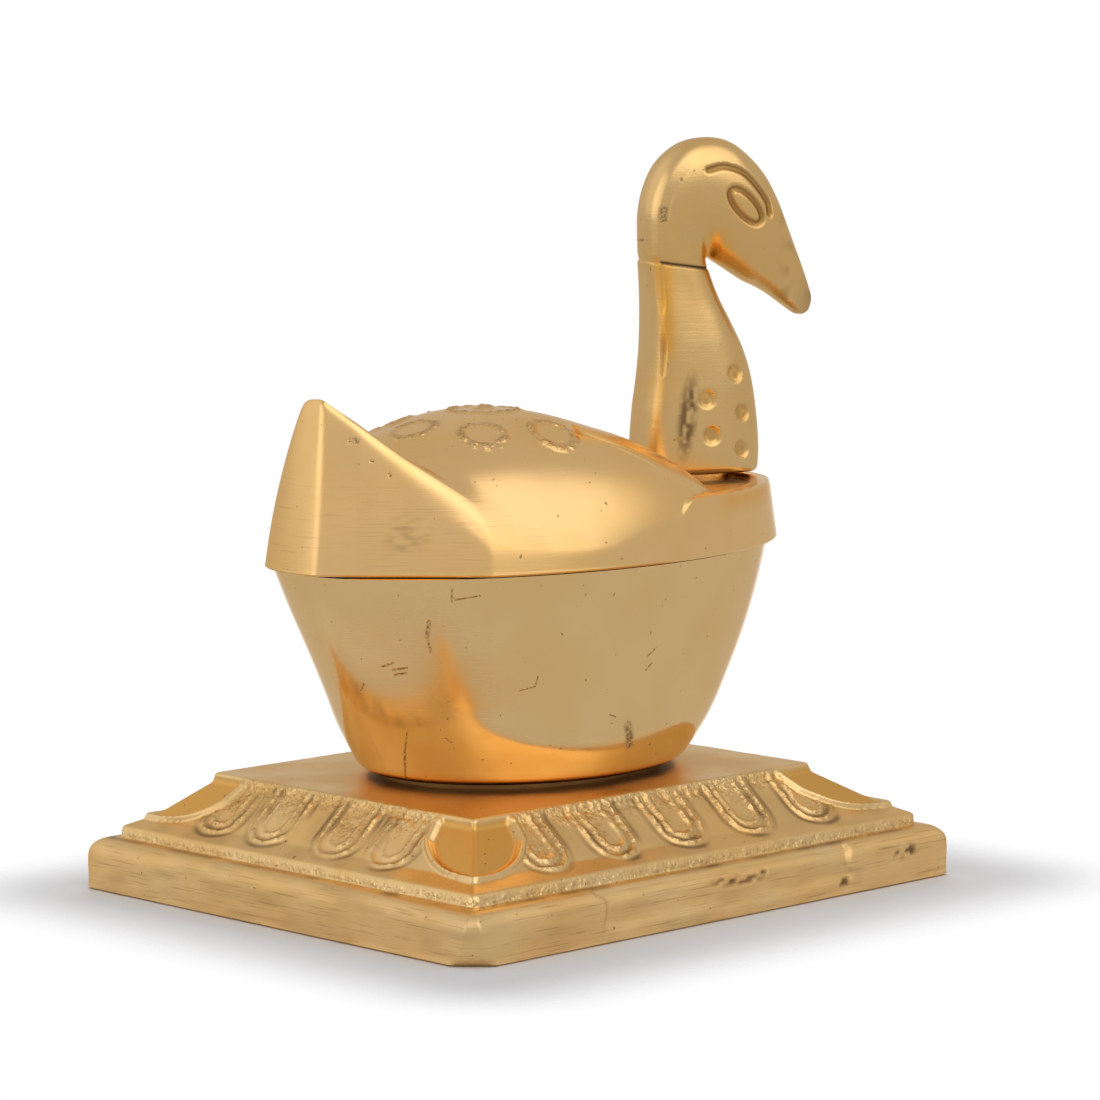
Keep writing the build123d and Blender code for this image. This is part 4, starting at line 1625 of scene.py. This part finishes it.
@dataclass
class SwanNeck:
    """Neck and head: two castings that meet at a brazed joint, in an upright plane turned about the stud.

    Outline points are (forward of the stud, height above the table). Cuts are (depth, half width). The neck's
    sections are (back, front, half width, share of its height). The head's are its top point, its under point, half
    its width and how square its back is.
    """

    grain: Grain
    stud_x: float
    # The neck and head's brass is darker than the lid's: a painted shade over both castings.
    finish: BrassFinish = BrassFinish(
        "neck_brass_painted_shade",
        buffed=(0.82, 0.54, 0.23),
        warm=(0.79, 0.49, 0.18),
        roughness=0.25,
        wave_size=0.003,
        wave_depth=0.00003,
        grain_depth=0.000009,
        brush_depth=0.000009,
        scratches=(
            Scratch((25.32, -1.94, 83.32), (25.4, -1.95, 83.4), 0.3),
            Scratch((23.3, 2.86, 78.38), (23.3, 2.8, 78.2), 0.25),
            Scratch((23.69, 3.58, 75.9), (23.1, 2.31, 75.97), 0.25),
            Scratch((23.57, -0.78, 79.6), (23.5, -0.7, 78.6), 0.8),
        ),
    )
    turn: float = math.radians(-25.0)
    joint_tilt: float = math.tan(math.radians(7.5))
    joint_forward: float = -2.2
    edge_round: float = 0.14
    foot_round: Pair = (0.35, 0.8)
    columns: int = 220
    neck_rows: int = 150
    head_rows: int = 230
    bore: float = 2.08
    bore_depth: float = 11.4
    dowel_hole: float = 1.22
    dowel_depth: float = 4.6
    dowel_forward: float = -2.3
    neck_square: Pair = (4.2, 2.4)
    bill_square: float = 2.3
    neck_sections: tuple[tuple[float, ...], ...] = (
        (-7.5, 8.2, 5.2, 0.0),
        (-7.4, 8.3, 5.15, 0.13),
        (-7.1, 7.95, 5.0, 0.3),
        (-6.6, 7.35, 4.8, 0.45),
        (-6.3, 6.2, 4.5, 0.6),
        (-6.25, 4.5, 4.15, 0.75),
        (-6.4, 2.85, 3.75, 0.88),
        (-6.65, 1.6, 3.45, 1.0),
    )
    head_sections: tuple[tuple[float, ...], ...] = (
        (-6.65, 73.4, 1.6, 72.35, 3.45, 3.6),
        (-6.8, 76.5, 1.45, 73.0, 3.5, 3.4),
        (-6.75, 79.6, 1.4, 73.4, 3.6, 3.2),
        (-6.0, 82.8, 1.4, 73.6, 3.75, 3.0),
        (-4.4, 85.7, 1.55, 73.7, 3.9, 2.8),
        (-1.6, 87.8, 1.9, 73.65, 4.1, 2.6),
        (1.8, 88.4, 2.6, 73.2, 4.3, 2.5),
        (4.6, 87.8, 3.8, 72.45, 4.4, 2.4),
        (7.1, 86.0, 5.2, 71.55, 4.3, 2.3),
        (9.1, 83.8, 6.6, 70.7, 4.05, 2.2),
        (10.6, 81.2, 8.0, 70.05, 3.65, 2.2),
        (11.85, 78.3, 9.4, 69.3, 3.15, 2.2),
        (13.05, 75.4, 10.7, 68.45, 2.65, 2.2),
        (14.2, 72.6, 11.95, 67.55, 2.15, 2.2),
        (15.15, 70.1, 12.9, 66.9, 1.7, 2.2),
        (15.6, 68.6, 13.5, 66.55, 1.3, 2.2),
        (15.35, 67.2, 14.2, 66.45, 0.8, 2.2),
        (14.85, 66.6, 14.6, 66.5, 0.15, 2.2),
    )
    eye: Pair = (5.3, 80.1)
    eye_half: Pair = (2.75, 1.2)
    eye_tilt: float = math.radians(-45.0)
    eye_cut: Pair = (0.36, 0.55)
    brow: tuple[Pair, ...] = ((0.6, 84.5), (2.6, 84.9), (5.0, 84.2), (6.8, 82.6), (8.3, 80.6), (8.6, 79.1))
    brow_cut: Pair = (0.4, 0.58)
    band: tuple[Pair, ...] = ((-5.0, 73.2), (-5.0, 77.0), (-4.6, 80.5), (-3.2, 83.8), (-0.6, 86.0), (2.6, 86.6))
    band_cut: Pair = (0.2, 0.7)
    throat_fold: tuple[Pair, ...] = ((1.7, 73.6), (1.2, 75.2), (1.0, 77.0), (1.2, 79.0))
    throat_cut: Pair = (0.42, 1.3)
    throat: Pair = (2.0, 74.2)
    dimples: tuple[Pair, ...] = ((0.05, 56.7), (0.6, 52.2), (4.0, 59.7), (4.95, 54.9), (4.8, 50.4))
    dimple_radius: float = 1.35
    dimple_depth: float = 0.32
    crease_inset: Pair = (0.75, 0.25)
    crease_half: float = 0.45
    crease_least: float = 0.1
    crease_more: float = 0.34
    soot_middle: Pair = (-2.5, 54.6)
    soot_half: Pair = (1.4, 5.6)
    streak_forward: float = -4.6
    streak_half: float = 0.7
    foot: float = field(init=False)
    joint: float = field(init=False)

    def __post_init__(self) -> None:
        """Take the foot's and the joint's heights from the frame."""
        low, _ = node_box("neck")
        dowel_low, dowel_high = node_box("head_dowel")
        self.foot = float(low[2])
        self.joint = float(dowel_low[2] + dowel_high[2]) / 2

    def oval(self, half_depth: Array, half_width: Array, back: Array, front: Array) -> Array:
        """Rounded sections, squarer at the back than at the front.

        Args:
            half_depth: Half the depth of each section.
            half_width: Half its width.
            back: How square the back is, 2 for an ellipse.
            front: How square the front is.

        Returns:
            Points of each section, evenly spaced, as share towards the front and place across.
        """
        angle = np.linspace(0, 2 * np.pi, 721)
        cosine, sine = np.cos(angle), np.sin(angle)
        rows = []
        for depth, width, at_back, at_front in zip(half_depth, half_width, back, front):
            power = 2 / np.where(cosine > 0, at_front, at_back)
            ahead = np.sign(cosine) * np.abs(cosine) ** power
            across = np.sign(sine) * np.abs(sine) ** power
            ring = np.column_stack([ahead * depth, across * width])
            even = even_curve(ring, self.columns + 1)[:-1]
            rows.append(even / (max(depth, 1e-6), 1.0))
        return np.array(rows)

    def place(self, forward: Array, across: Array, height: Array) -> Array:
        """Turn places in the neck's own plane into the frame's.

        Args:
            forward: Places forward of the stud.
            across: Places across the plane.
            height: Heights above the table.

        Returns:
            Points in the frame.
        """
        cosine, sine = math.cos(self.turn), math.sin(self.turn)
        x = self.stud_x + forward * cosine - across * sine
        y = forward * sine + across * cosine
        return np.stack([x, y, height], axis=-1)

    def spot(self, forward: float, height: float) -> Array:
        """One point on the neck's middle plane."""
        return self.place(np.array(forward), np.array(0.0), np.array(height))

    def below_joint(self, forward: Array, height: Array) -> Array:
        """How far a place lies under the joint's tilted face."""
        return self.joint + self.joint_tilt * (self.joint_forward - forward) - height

    def neck(self) -> Array:
        """Draw the neck's sections.

        Returns:
            Their places forward, across and up.
        """
        sections = np.array(self.neck_sections)
        shares = np.linspace(0, 1, self.neck_rows)
        index = np.interp(shares, sections[:, 3], np.linspace(0, 1, len(sections)))
        back, front, width = curve_through(sections[:, :3], index).T
        tall = self.joint - self.foot
        rise = shares * tall
        inward, upward = self.foot_round
        ease = inward * (1 - np.sqrt(np.clip(1 - (1 - np.clip(rise / upward, 0, 1)) ** 2, 0, 1)))
        squeeze = ease + self.edge_round * smooth_step(rise, tall - 0.25, tall)
        half = (front - back) / 2 - squeeze
        at_back, at_front = (np.full(len(shares), square) for square in self.neck_square)
        oval = self.oval(half, width - squeeze, at_back, at_front)
        forward = ((front + back) / 2)[:, None] + oval[..., 0] * half[:, None]
        tilt = self.joint_tilt * (self.joint_forward - forward)
        height = self.foot + rise[:, None] + tilt * smooth_step(shares, 0.5, 1.0)[:, None]
        return np.stack([forward, oval[..., 1], height], axis=-1)

    def head(self) -> Array:
        """Draw the head's sections, fanned round the throat.

        Returns:
            Their places forward, across and up.
        """
        shares = np.linspace(0, 1, self.head_rows)
        top_x, top_z, under_x, under_z, width, square = curve_through(self.head_sections, shares).T
        depth = np.hypot(top_x - under_x, top_z - under_z) / 2
        edge = self.edge_round * (1 - smooth_step(shares, 0, 0.018))
        at_front = np.full(len(shares), self.bill_square)
        oval = self.oval(depth - edge, np.maximum(width, 0.05) - edge, square, at_front)
        share = -oval[..., 0] * (1 - edge / np.maximum(depth, 0.1))[:, None]
        forward = ((top_x + under_x) / 2)[:, None] + share * ((top_x - under_x) / 2)[:, None]
        height = ((top_z + under_z) / 2)[:, None] + share * ((top_z - under_z) / 2)[:, None]
        return np.stack([forward, oval[..., 1], height], axis=-1)

    def near_path(self, forward: Array, height: Array, path: tuple[Pair, ...], count: int) -> tuple[Array, Array]:
        """Distance from a path drawn on the side of the head.

        Args:
            forward: Places forward of the stud.
            height: Their heights above the table.
            path: The path's points.
            count: How many places along it are tried.

        Returns:
            Distance from the nearest of them, and its share of the way along.
        """
        gap, nearest = np.full(forward.shape, np.inf), np.zeros(forward.shape)
        shares = np.linspace(0, 1, count)
        for share, point in zip(shares, curve_through(path, shares)):
            away = np.hypot(forward - point[0], height - point[1])
            nearest = np.where(away < gap, share, nearest)
            gap = np.minimum(gap, away)
        return gap, nearest

    def face(self, forward: Array, height: Array) -> Array:
        """Cut the eye and the brow into the side of the head.

        Args:
            forward: Places forward of the stud.
            height: Their heights above the table.

        Returns:
            Depth of the cut.
        """
        cosine, sine = math.cos(self.eye_tilt), math.sin(self.eye_tilt)
        ahead, up = forward - self.eye[0], height - self.eye[1]
        along, over = ahead * cosine + up * sine, up * cosine - ahead * sine
        length, width = self.eye_half
        size = np.maximum(np.hypot(along / length, over / width), 1e-3)
        slope = np.hypot(along / length**2, over / width**2) / size
        depth, half = self.eye_cut
        groove = depth * bump((size - 1) / np.maximum(slope, 0.2), half)
        gap, _ = self.near_path(forward, height, self.brow, 60)
        depth, half = self.brow_cut
        return np.maximum(groove, depth * bump(gap, half))

    def folds(self, forward: Array, height: Array) -> Array:
        """Press the soft folds, which fade along the crown's band and up from the throat.

        Args:
            forward: Places forward of the stud.
            height: Their heights above the table.

        Returns:
            Depth of the folds.
        """
        total = np.zeros(forward.shape)
        for path, (depth, half) in ((self.band, self.band_cut), (self.throat_fold, self.throat_cut)):
            gap, share = self.near_path(forward, height, path, 50)
            total = np.maximum(total, depth * (1 - share**2) * bump(gap, half))
        return total

    def cups(self, plain: Array) -> Array:
        """Press the dimples into the neck's two sides.

        Args:
            plain: Places on the plain neck.

        Returns:
            Share of a dimple's depth.
        """
        forward, across, height = np.moveaxis(plain, -1, 0)
        share = np.zeros(forward.shape)
        for ahead, level in self.dimples:
            row = int(np.argmin(np.abs(height.mean(axis=1) - level)))
            near = np.argmin(np.abs(forward[row] - ahead) + 50 * (across[row] < 0))
            for side in (1.0, -1.0):
                centre = np.array([forward[row, near], side * across[row, near], level])
                away = np.linalg.norm(plain - centre, axis=-1)
                share = np.maximum(share, 1 - smooth_step(away, 0.55 * self.dimple_radius, self.dimple_radius))
        return share

    def soot(self, plain: Array) -> Array:
        """Blacken the broken patch on the neck's right-hand side.

        Args:
            plain: Places on the plain neck.

        Returns:
            Share of the black.
        """
        forward, across, height = np.moveaxis(plain, -1, 0)
        ahead, level = self.soot_middle
        length, tall = self.soot_half
        away = np.hypot((forward - ahead - 0.12 * (height - 55)) / length, (height - level) / tall)
        broken = np.clip(0.95 + 1.1 * self.grain.at(plain, 0.5), 0, 1)
        return np.clip(1.7 * (1.1 - away), 0, 1) * broken * (across < 0)

    def drill_dowel(self, piece: bpy.types.Object) -> None:
        """Cut the dowel's hole across the joint.

        Args:
            piece: The neck or the head.
        """
        joint = Vector(self.spot(self.dowel_forward, self.joint))
        reach = Vector((0, 0, self.dowel_depth))
        drill(piece, joint - reach, joint + reach, self.dowel_hole)

    def build_neck(self, material: bpy.types.Material) -> None:
        """Make and dress the neck.

        Args:
            material: Its material.
        """
        plain = self.neck()
        forward, across, height = np.moveaxis(plain, -1, 0)
        cups = self.cups(plain)
        inset, side_inset = self.crease_inset
        widest = np.abs(across).max(axis=1, keepdims=True)
        corner = np.hypot(forward - forward.min(axis=1, keepdims=True) - inset, np.abs(across) - widest + side_inset)
        fade = (1 - smooth_step(height, 61.0, 67.0)) * smooth_step(height, 49.0, 52.0)
        crease_depth = self.crease_least + self.crease_more * fade
        wander = 0.35 * self.grain.at(plain * (0.0, 0.0, 1.0), 3.0)
        crease = bump(corner + wander, self.crease_half)
        pressed = self.dimple_depth * cups + crease_depth * crease
        outward = unit_rows(np.stack([forward * 0.45, across, 0 * height], axis=-1))
        uneven = 0.05 * self.grain.at(plain, 4.5) * smooth_step(height, self.foot + 0.3, self.foot + 0.9)
        moved = plain - (pressed - uneven)[..., None] * outward
        streak = np.exp(-(((forward - self.streak_forward) / self.streak_half) ** 2))
        streak *= smooth_step(height + 2 * wander, 60, 63)
        tarnish = 1 - smooth_step(self.below_joint(forward, height), 0.08, 0.3)
        tarnish *= smooth_step(forward, -5.7, -5.2)
        tarnish = np.maximum(tarnish, 0.75 * crease * smooth_step(crease_depth, 0.2, 0.4))
        tarnish = np.maximum(tarnish, 0.3 * cups * np.clip(0.6 + self.grain.at(plain, 0.5), 0, 1))
        # The back crease, the dimples and a vertical streak near the top get the painted reflection: painted shade
        # and orange bounce.
        draft = MeshDraft("neck_casting")
        skin = draft.add(
            self.place(*np.moveaxis(moved, -1, 0)),
            pooled=np.clip(0.8 * bump(corner, 0.9) + 0.9 * streak + 0.45 * cups, 0, 1),
            tarnish=np.maximum(0.85 * self.soot(plain), tarnish),
        )
        draft.skin(skin)
        draft.close(skin[0], self.spot(0.0, self.foot))
        draft.close(skin[-1], self.spot(self.joint_forward, self.joint))
        piece = draft.build()
        low = Vector((self.stud_x, 0, self.foot - 2))
        drill(piece, low, low + Vector((0, 0, self.bore_depth + 2)), self.bore)
        self.drill_dowel(piece)
        dress(piece, material, Body.NECK, "neck")

    def build_head(self, material: bpy.types.Material) -> None:
        """Make and dress the head.

        Args:
            material: Its material.
        """
        plain = self.head()
        forward, across, height = np.moveaxis(plain, -1, 0)
        widest = np.abs(across).max(axis=1, keepdims=True)
        groove = self.face(forward, height) * smooth_step(np.abs(across), 0.45 * widest, 0.8 * widest)
        folds = self.folds(forward, height) * smooth_step(np.abs(across), 0.2 * widest, 0.5 * widest)
        uneven = 0.04 * self.grain.at(plain, 4.0) * smooth_step(np.linspace(0, 1, len(plain)), 0.01, 0.04)[:, None]
        moved = plain.copy()
        moved[..., 1] -= np.sign(across) * (groove + folds - uneven)
        tip = smooth_step(forward, 12.0, 15.0) * smooth_step(-height, -73.0, -68.0)
        # Painted reflection under the head: deep orange fading out from the throat, and in the eye and brow grooves.
        from_throat = np.hypot(forward - self.throat[0], (height - self.throat[1]) / 1.5)
        pooled = np.clip(1.2 - 0.45 * from_throat, 0, 0.9) + np.clip(2.2 * groove, 0, 0.7)
        seam = 1 - smooth_step(np.abs(self.below_joint(forward, height)), 0.1, 0.34)
        seam *= smooth_step(forward, -5.7, -5.2) * (forward < 2.4)
        stain = np.clip(1.6 * self.grain.at(plain, 1.6), 0, 1) * smooth_step(forward, 9.5, 13.0)
        tarnish = np.maximum.reduce([seam, 0.5 * stain, np.clip(2.2 * groove, 0, 0.6), 0.3 * tip])
        draft = MeshDraft("head_casting")
        places = self.place(*np.moveaxis(moved, -1, 0))
        skin = draft.add(places, pooled=np.clip(pooled, 0, 1), tarnish=tarnish)
        draft.skin(skin)
        draft.close(skin[0], self.spot(self.joint_forward, self.joint))
        draft.close(skin[-1], self.place(*moved[-1].mean(axis=0)))
        piece = draft.build()
        self.drill_dowel(piece)
        dress(piece, material, Body.NECK, "head")

    def build(self) -> None:
        """Make and dress the neck and the head."""
        material = self.finish.material()
        self.build_neck(material)
        self.build_head(material)


@dataclass
class Fastenings:
    """Studs, washers, nut and dowel, which keep their CAD shape."""

    finish: BrassFinish = BrassFinish("turned_brass", roughness=0.28, wave_depth=0.000004)
    nodes: tuple[str, ...] = ("pivot_stud", "neck_washer", "head_dowel", "foot_stud", "foot_washer", "foot_nut")

    def dress(self, frame_nodes: dict[str, bpy.types.Object]) -> None:
        """Give the CAD nodes their finish.

        Args:
            frame_nodes: The frame's objects by node name.
        """
        material = self.finish.material()
        for name in self.nodes:
            piece = frame_nodes[name]
            piece.data.materials.clear()
            piece.data.materials.append(material)
            LOG.info("%s: CAD node", name)


@dataclass(frozen=True)
class Glow:
    """A soft patch of light in the studio round the box. Angles are in degrees."""

    azimuth: float
    elevation: float
    core: float
    reach: float
    strength: float

    def light(self, sketch: NodeSketch, way: bpy.types.NodeSocket) -> bpy.types.NodeSocket:
        """Draw the patch.

        Args:
            sketch: The studio's nodes.
            way: The direction looked in.

        Returns:
            The patch's strength in that direction.
        """
        middle = heading(math.radians(self.azimuth), math.radians(self.elevation))
        toward = sketch.vector("DOT_PRODUCT", way, middle).outputs["Value"]
        edge, core = math.cos(math.radians(self.reach)), math.cos(math.radians(self.core))
        return sketch.ramp(toward, edge, core, 0.0, self.strength)


@dataclass
class Studio:
    """Pale floor, a soft lamp and the camera at the photograph's angle. Sizes are in metres.

    The backdrop's pair holds cosines of the angle from the view and the horizon's pair heights on a unit sphere.
    """

    azimuth: float = math.radians(-44.62)
    elevation: float = math.radians(6.77)
    distance: float = 0.53543
    sideways: float = 0.00347
    height: float = 0.04001
    lens: float = 147.27
    sensor: float = 36.0
    floor_size: float = 1.6
    # The grey floor that shows only round the plinth is a painted shade halo, shifted off centre like a shadow.
    floor_colour: Colour = (0.7, 0.705, 0.72)
    painted_halo_middle: Place = (0.0, -0.002, 0.0)
    painted_halo_core: Place = (0.04, 0.0335, 1.0)
    painted_halo_fade: Pair = (0.003, 0.022)
    lamp_place: Place = (0.42, 0.4, 0.36)
    lamp_size: Pair = (0.5, 0.35)
    lamp_power: float = 1.3
    room: float = 0.58
    backdrop: Pair = (0.94, 0.98)
    horizon: Pair = (0.015, 0.12)
    glows: tuple[Glow, ...] = (
        Glow(-88.0, 44.0, 24.0, 41.0, 0.65),
        Glow(-115.0, 42.0, 6.0, 34.0, 0.3),
        Glow(178.0, 10.0, 10.0, 36.0, 0.55),
        Glow(135.0, 15.0, 15.0, 62.0, 0.26),
    )

    def toward_camera(self) -> Vector:
        """Direction from the box to the camera."""
        return heading(self.azimuth - math.pi / 2, self.elevation)

    def camera(self) -> None:
        """Set up the camera."""
        back = self.toward_camera()
        right = Vector((math.cos(self.azimuth), math.sin(self.azimuth), 0))
        data = bpy.data.cameras.new("camera")
        data.lens = self.lens
        data.sensor_width = self.sensor
        camera = bpy.data.objects.new("camera", data)
        bpy.context.scene.collection.objects.link(camera)
        camera.location = right * self.sideways + Vector((0, 0, self.height)) + back * self.distance
        camera.rotation_mode = "QUATERNION"
        camera.rotation_quaternion = (-back).to_track_quat("-Z", "Y")
        bpy.context.scene.camera = camera

    def lamp(self) -> None:
        """Add the soft lamp behind the box, which points at it."""
        data = bpy.data.lights.new("behind", "AREA")
        data.shape = "RECTANGLE"
        data.size, data.size_y = self.lamp_size
        data.energy = self.lamp_power
        lamp = bpy.data.objects.new("behind", data)
        bpy.context.scene.collection.objects.link(lamp)
        lamp.location = self.lamp_place
        lamp.rotation_mode = "QUATERNION"
        aim = Vector((0, 0, self.height)) - Vector(self.lamp_place)
        lamp.rotation_quaternion = aim.to_track_quat("-Z", "Y")
        lamp.visible_glossy = False

    def floor(self) -> None:
        """Lay the floor: an opaque grey patch round the plinth that fades into the white surround, a painted shade
        halo on top of the lamp's real shadow.
        """
        half = self.floor_size / 2
        mesh = bpy.data.meshes.new("floor")
        corners = [(-half, -half, 0), (half, -half, 0), (half, half, 0), (-half, half, 0)]
        mesh.from_pydata(corners, [], [(0, 1, 2, 3)])
        floor = bpy.data.objects.new("floor", mesh)
        bpy.context.scene.collection.objects.link(floor)
        sketch = ShaderSketch("pale_floor_painted_halo")
        tree = sketch.tree
        output = tree.nodes["Material Output"]
        diffuse = sketch.node("ShaderNodeBsdfDiffuse")
        diffuse.inputs["Color"].default_value = (*self.floor_colour, 1.0)
        clear = sketch.node("ShaderNodeBsdfTransparent")
        blend = sketch.node("ShaderNodeMixShader")
        place = sketch.vector("SUBTRACT", sketch.place, self.painted_halo_middle).outputs[0]
        place = sketch.vector("ABSOLUTE", place).outputs[0]
        place = sketch.vector("SUBTRACT", place, self.painted_halo_core).outputs[0]
        place = sketch.vector("MAXIMUM", place, (0, 0, 0)).outputs[0]
        away = sketch.vector("LENGTH", place).outputs["Value"]
        sketch.feed(blend.inputs["Fac"], sketch.ramp(away, *self.painted_halo_fade, 0.0, 1.0))
        tree.links.new(diffuse.outputs[0], blend.inputs[1])
        tree.links.new(clear.outputs[0], blend.inputs[2])
        tree.links.new(blend.outputs[0], output.inputs["Surface"])
        tree.nodes.remove(sketch.surface)
        mesh.materials.append(sketch.material)

    def surround(self) -> None:
        """White backdrop behind the box, in a pale grey room with soft glows."""
        world = bpy.data.worlds.new("surround")
        bpy.context.scene.world = world
        world.use_nodes = True
        sketch = NodeSketch(world.node_tree)
        way = sketch.node("ShaderNodeTexCoord").outputs["Generated"]
        ahead = sketch.vector("DOT_PRODUCT", way, -self.toward_camera()).outputs["Value"]
        table = sketch.ramp(ahead, *self.backdrop, self.room, 1.0)
        level = self.room
        for glow in self.glows:
            level = sketch.math("ADD", glow.light(sketch, way), level, clamp=False)
        split = sketch.node("ShaderNodeSeparateXYZ")
        sketch.feed(split.inputs[0], way)
        above = sketch.ramp(split.outputs["Z"], *self.horizon, 0.0, 1.0)
        blend = sketch.node("ShaderNodeMix", data_type="FLOAT")
        for socket, value in zip(blend.inputs, (above, None, table, level)):
            if value is not None:
                sketch.feed(socket, value)
        background = world.node_tree.nodes["Background"]
        sketch.feed(background.inputs["Color"], blend.outputs[0])

    def build(self) -> None:
        """Set up the whole studio."""
        bpy.context.scene.view_settings.view_transform = "Standard"
        self.camera()
        self.floor()
        self.surround()
        self.lamp()


def main() -> None:
    """Build the box round its frame."""
    logging.basicConfig(level=logging.INFO)
    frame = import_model()
    stud_low, stud_high = node_box("pivot_stud")
    stud_x = float(stud_low[0] + stud_high[0]) / 2
    grain = Grain(GRAIN_SEED)
    Plinth(grain).build()
    Bowl(grain, stud_x).build()
    Lid(grain, stud_x).build()
    SwanNeck(grain, stud_x).build()
    Fastenings().dress(frame["nodes"])
    Studio().build()


if __name__ == "__main__":
    main()
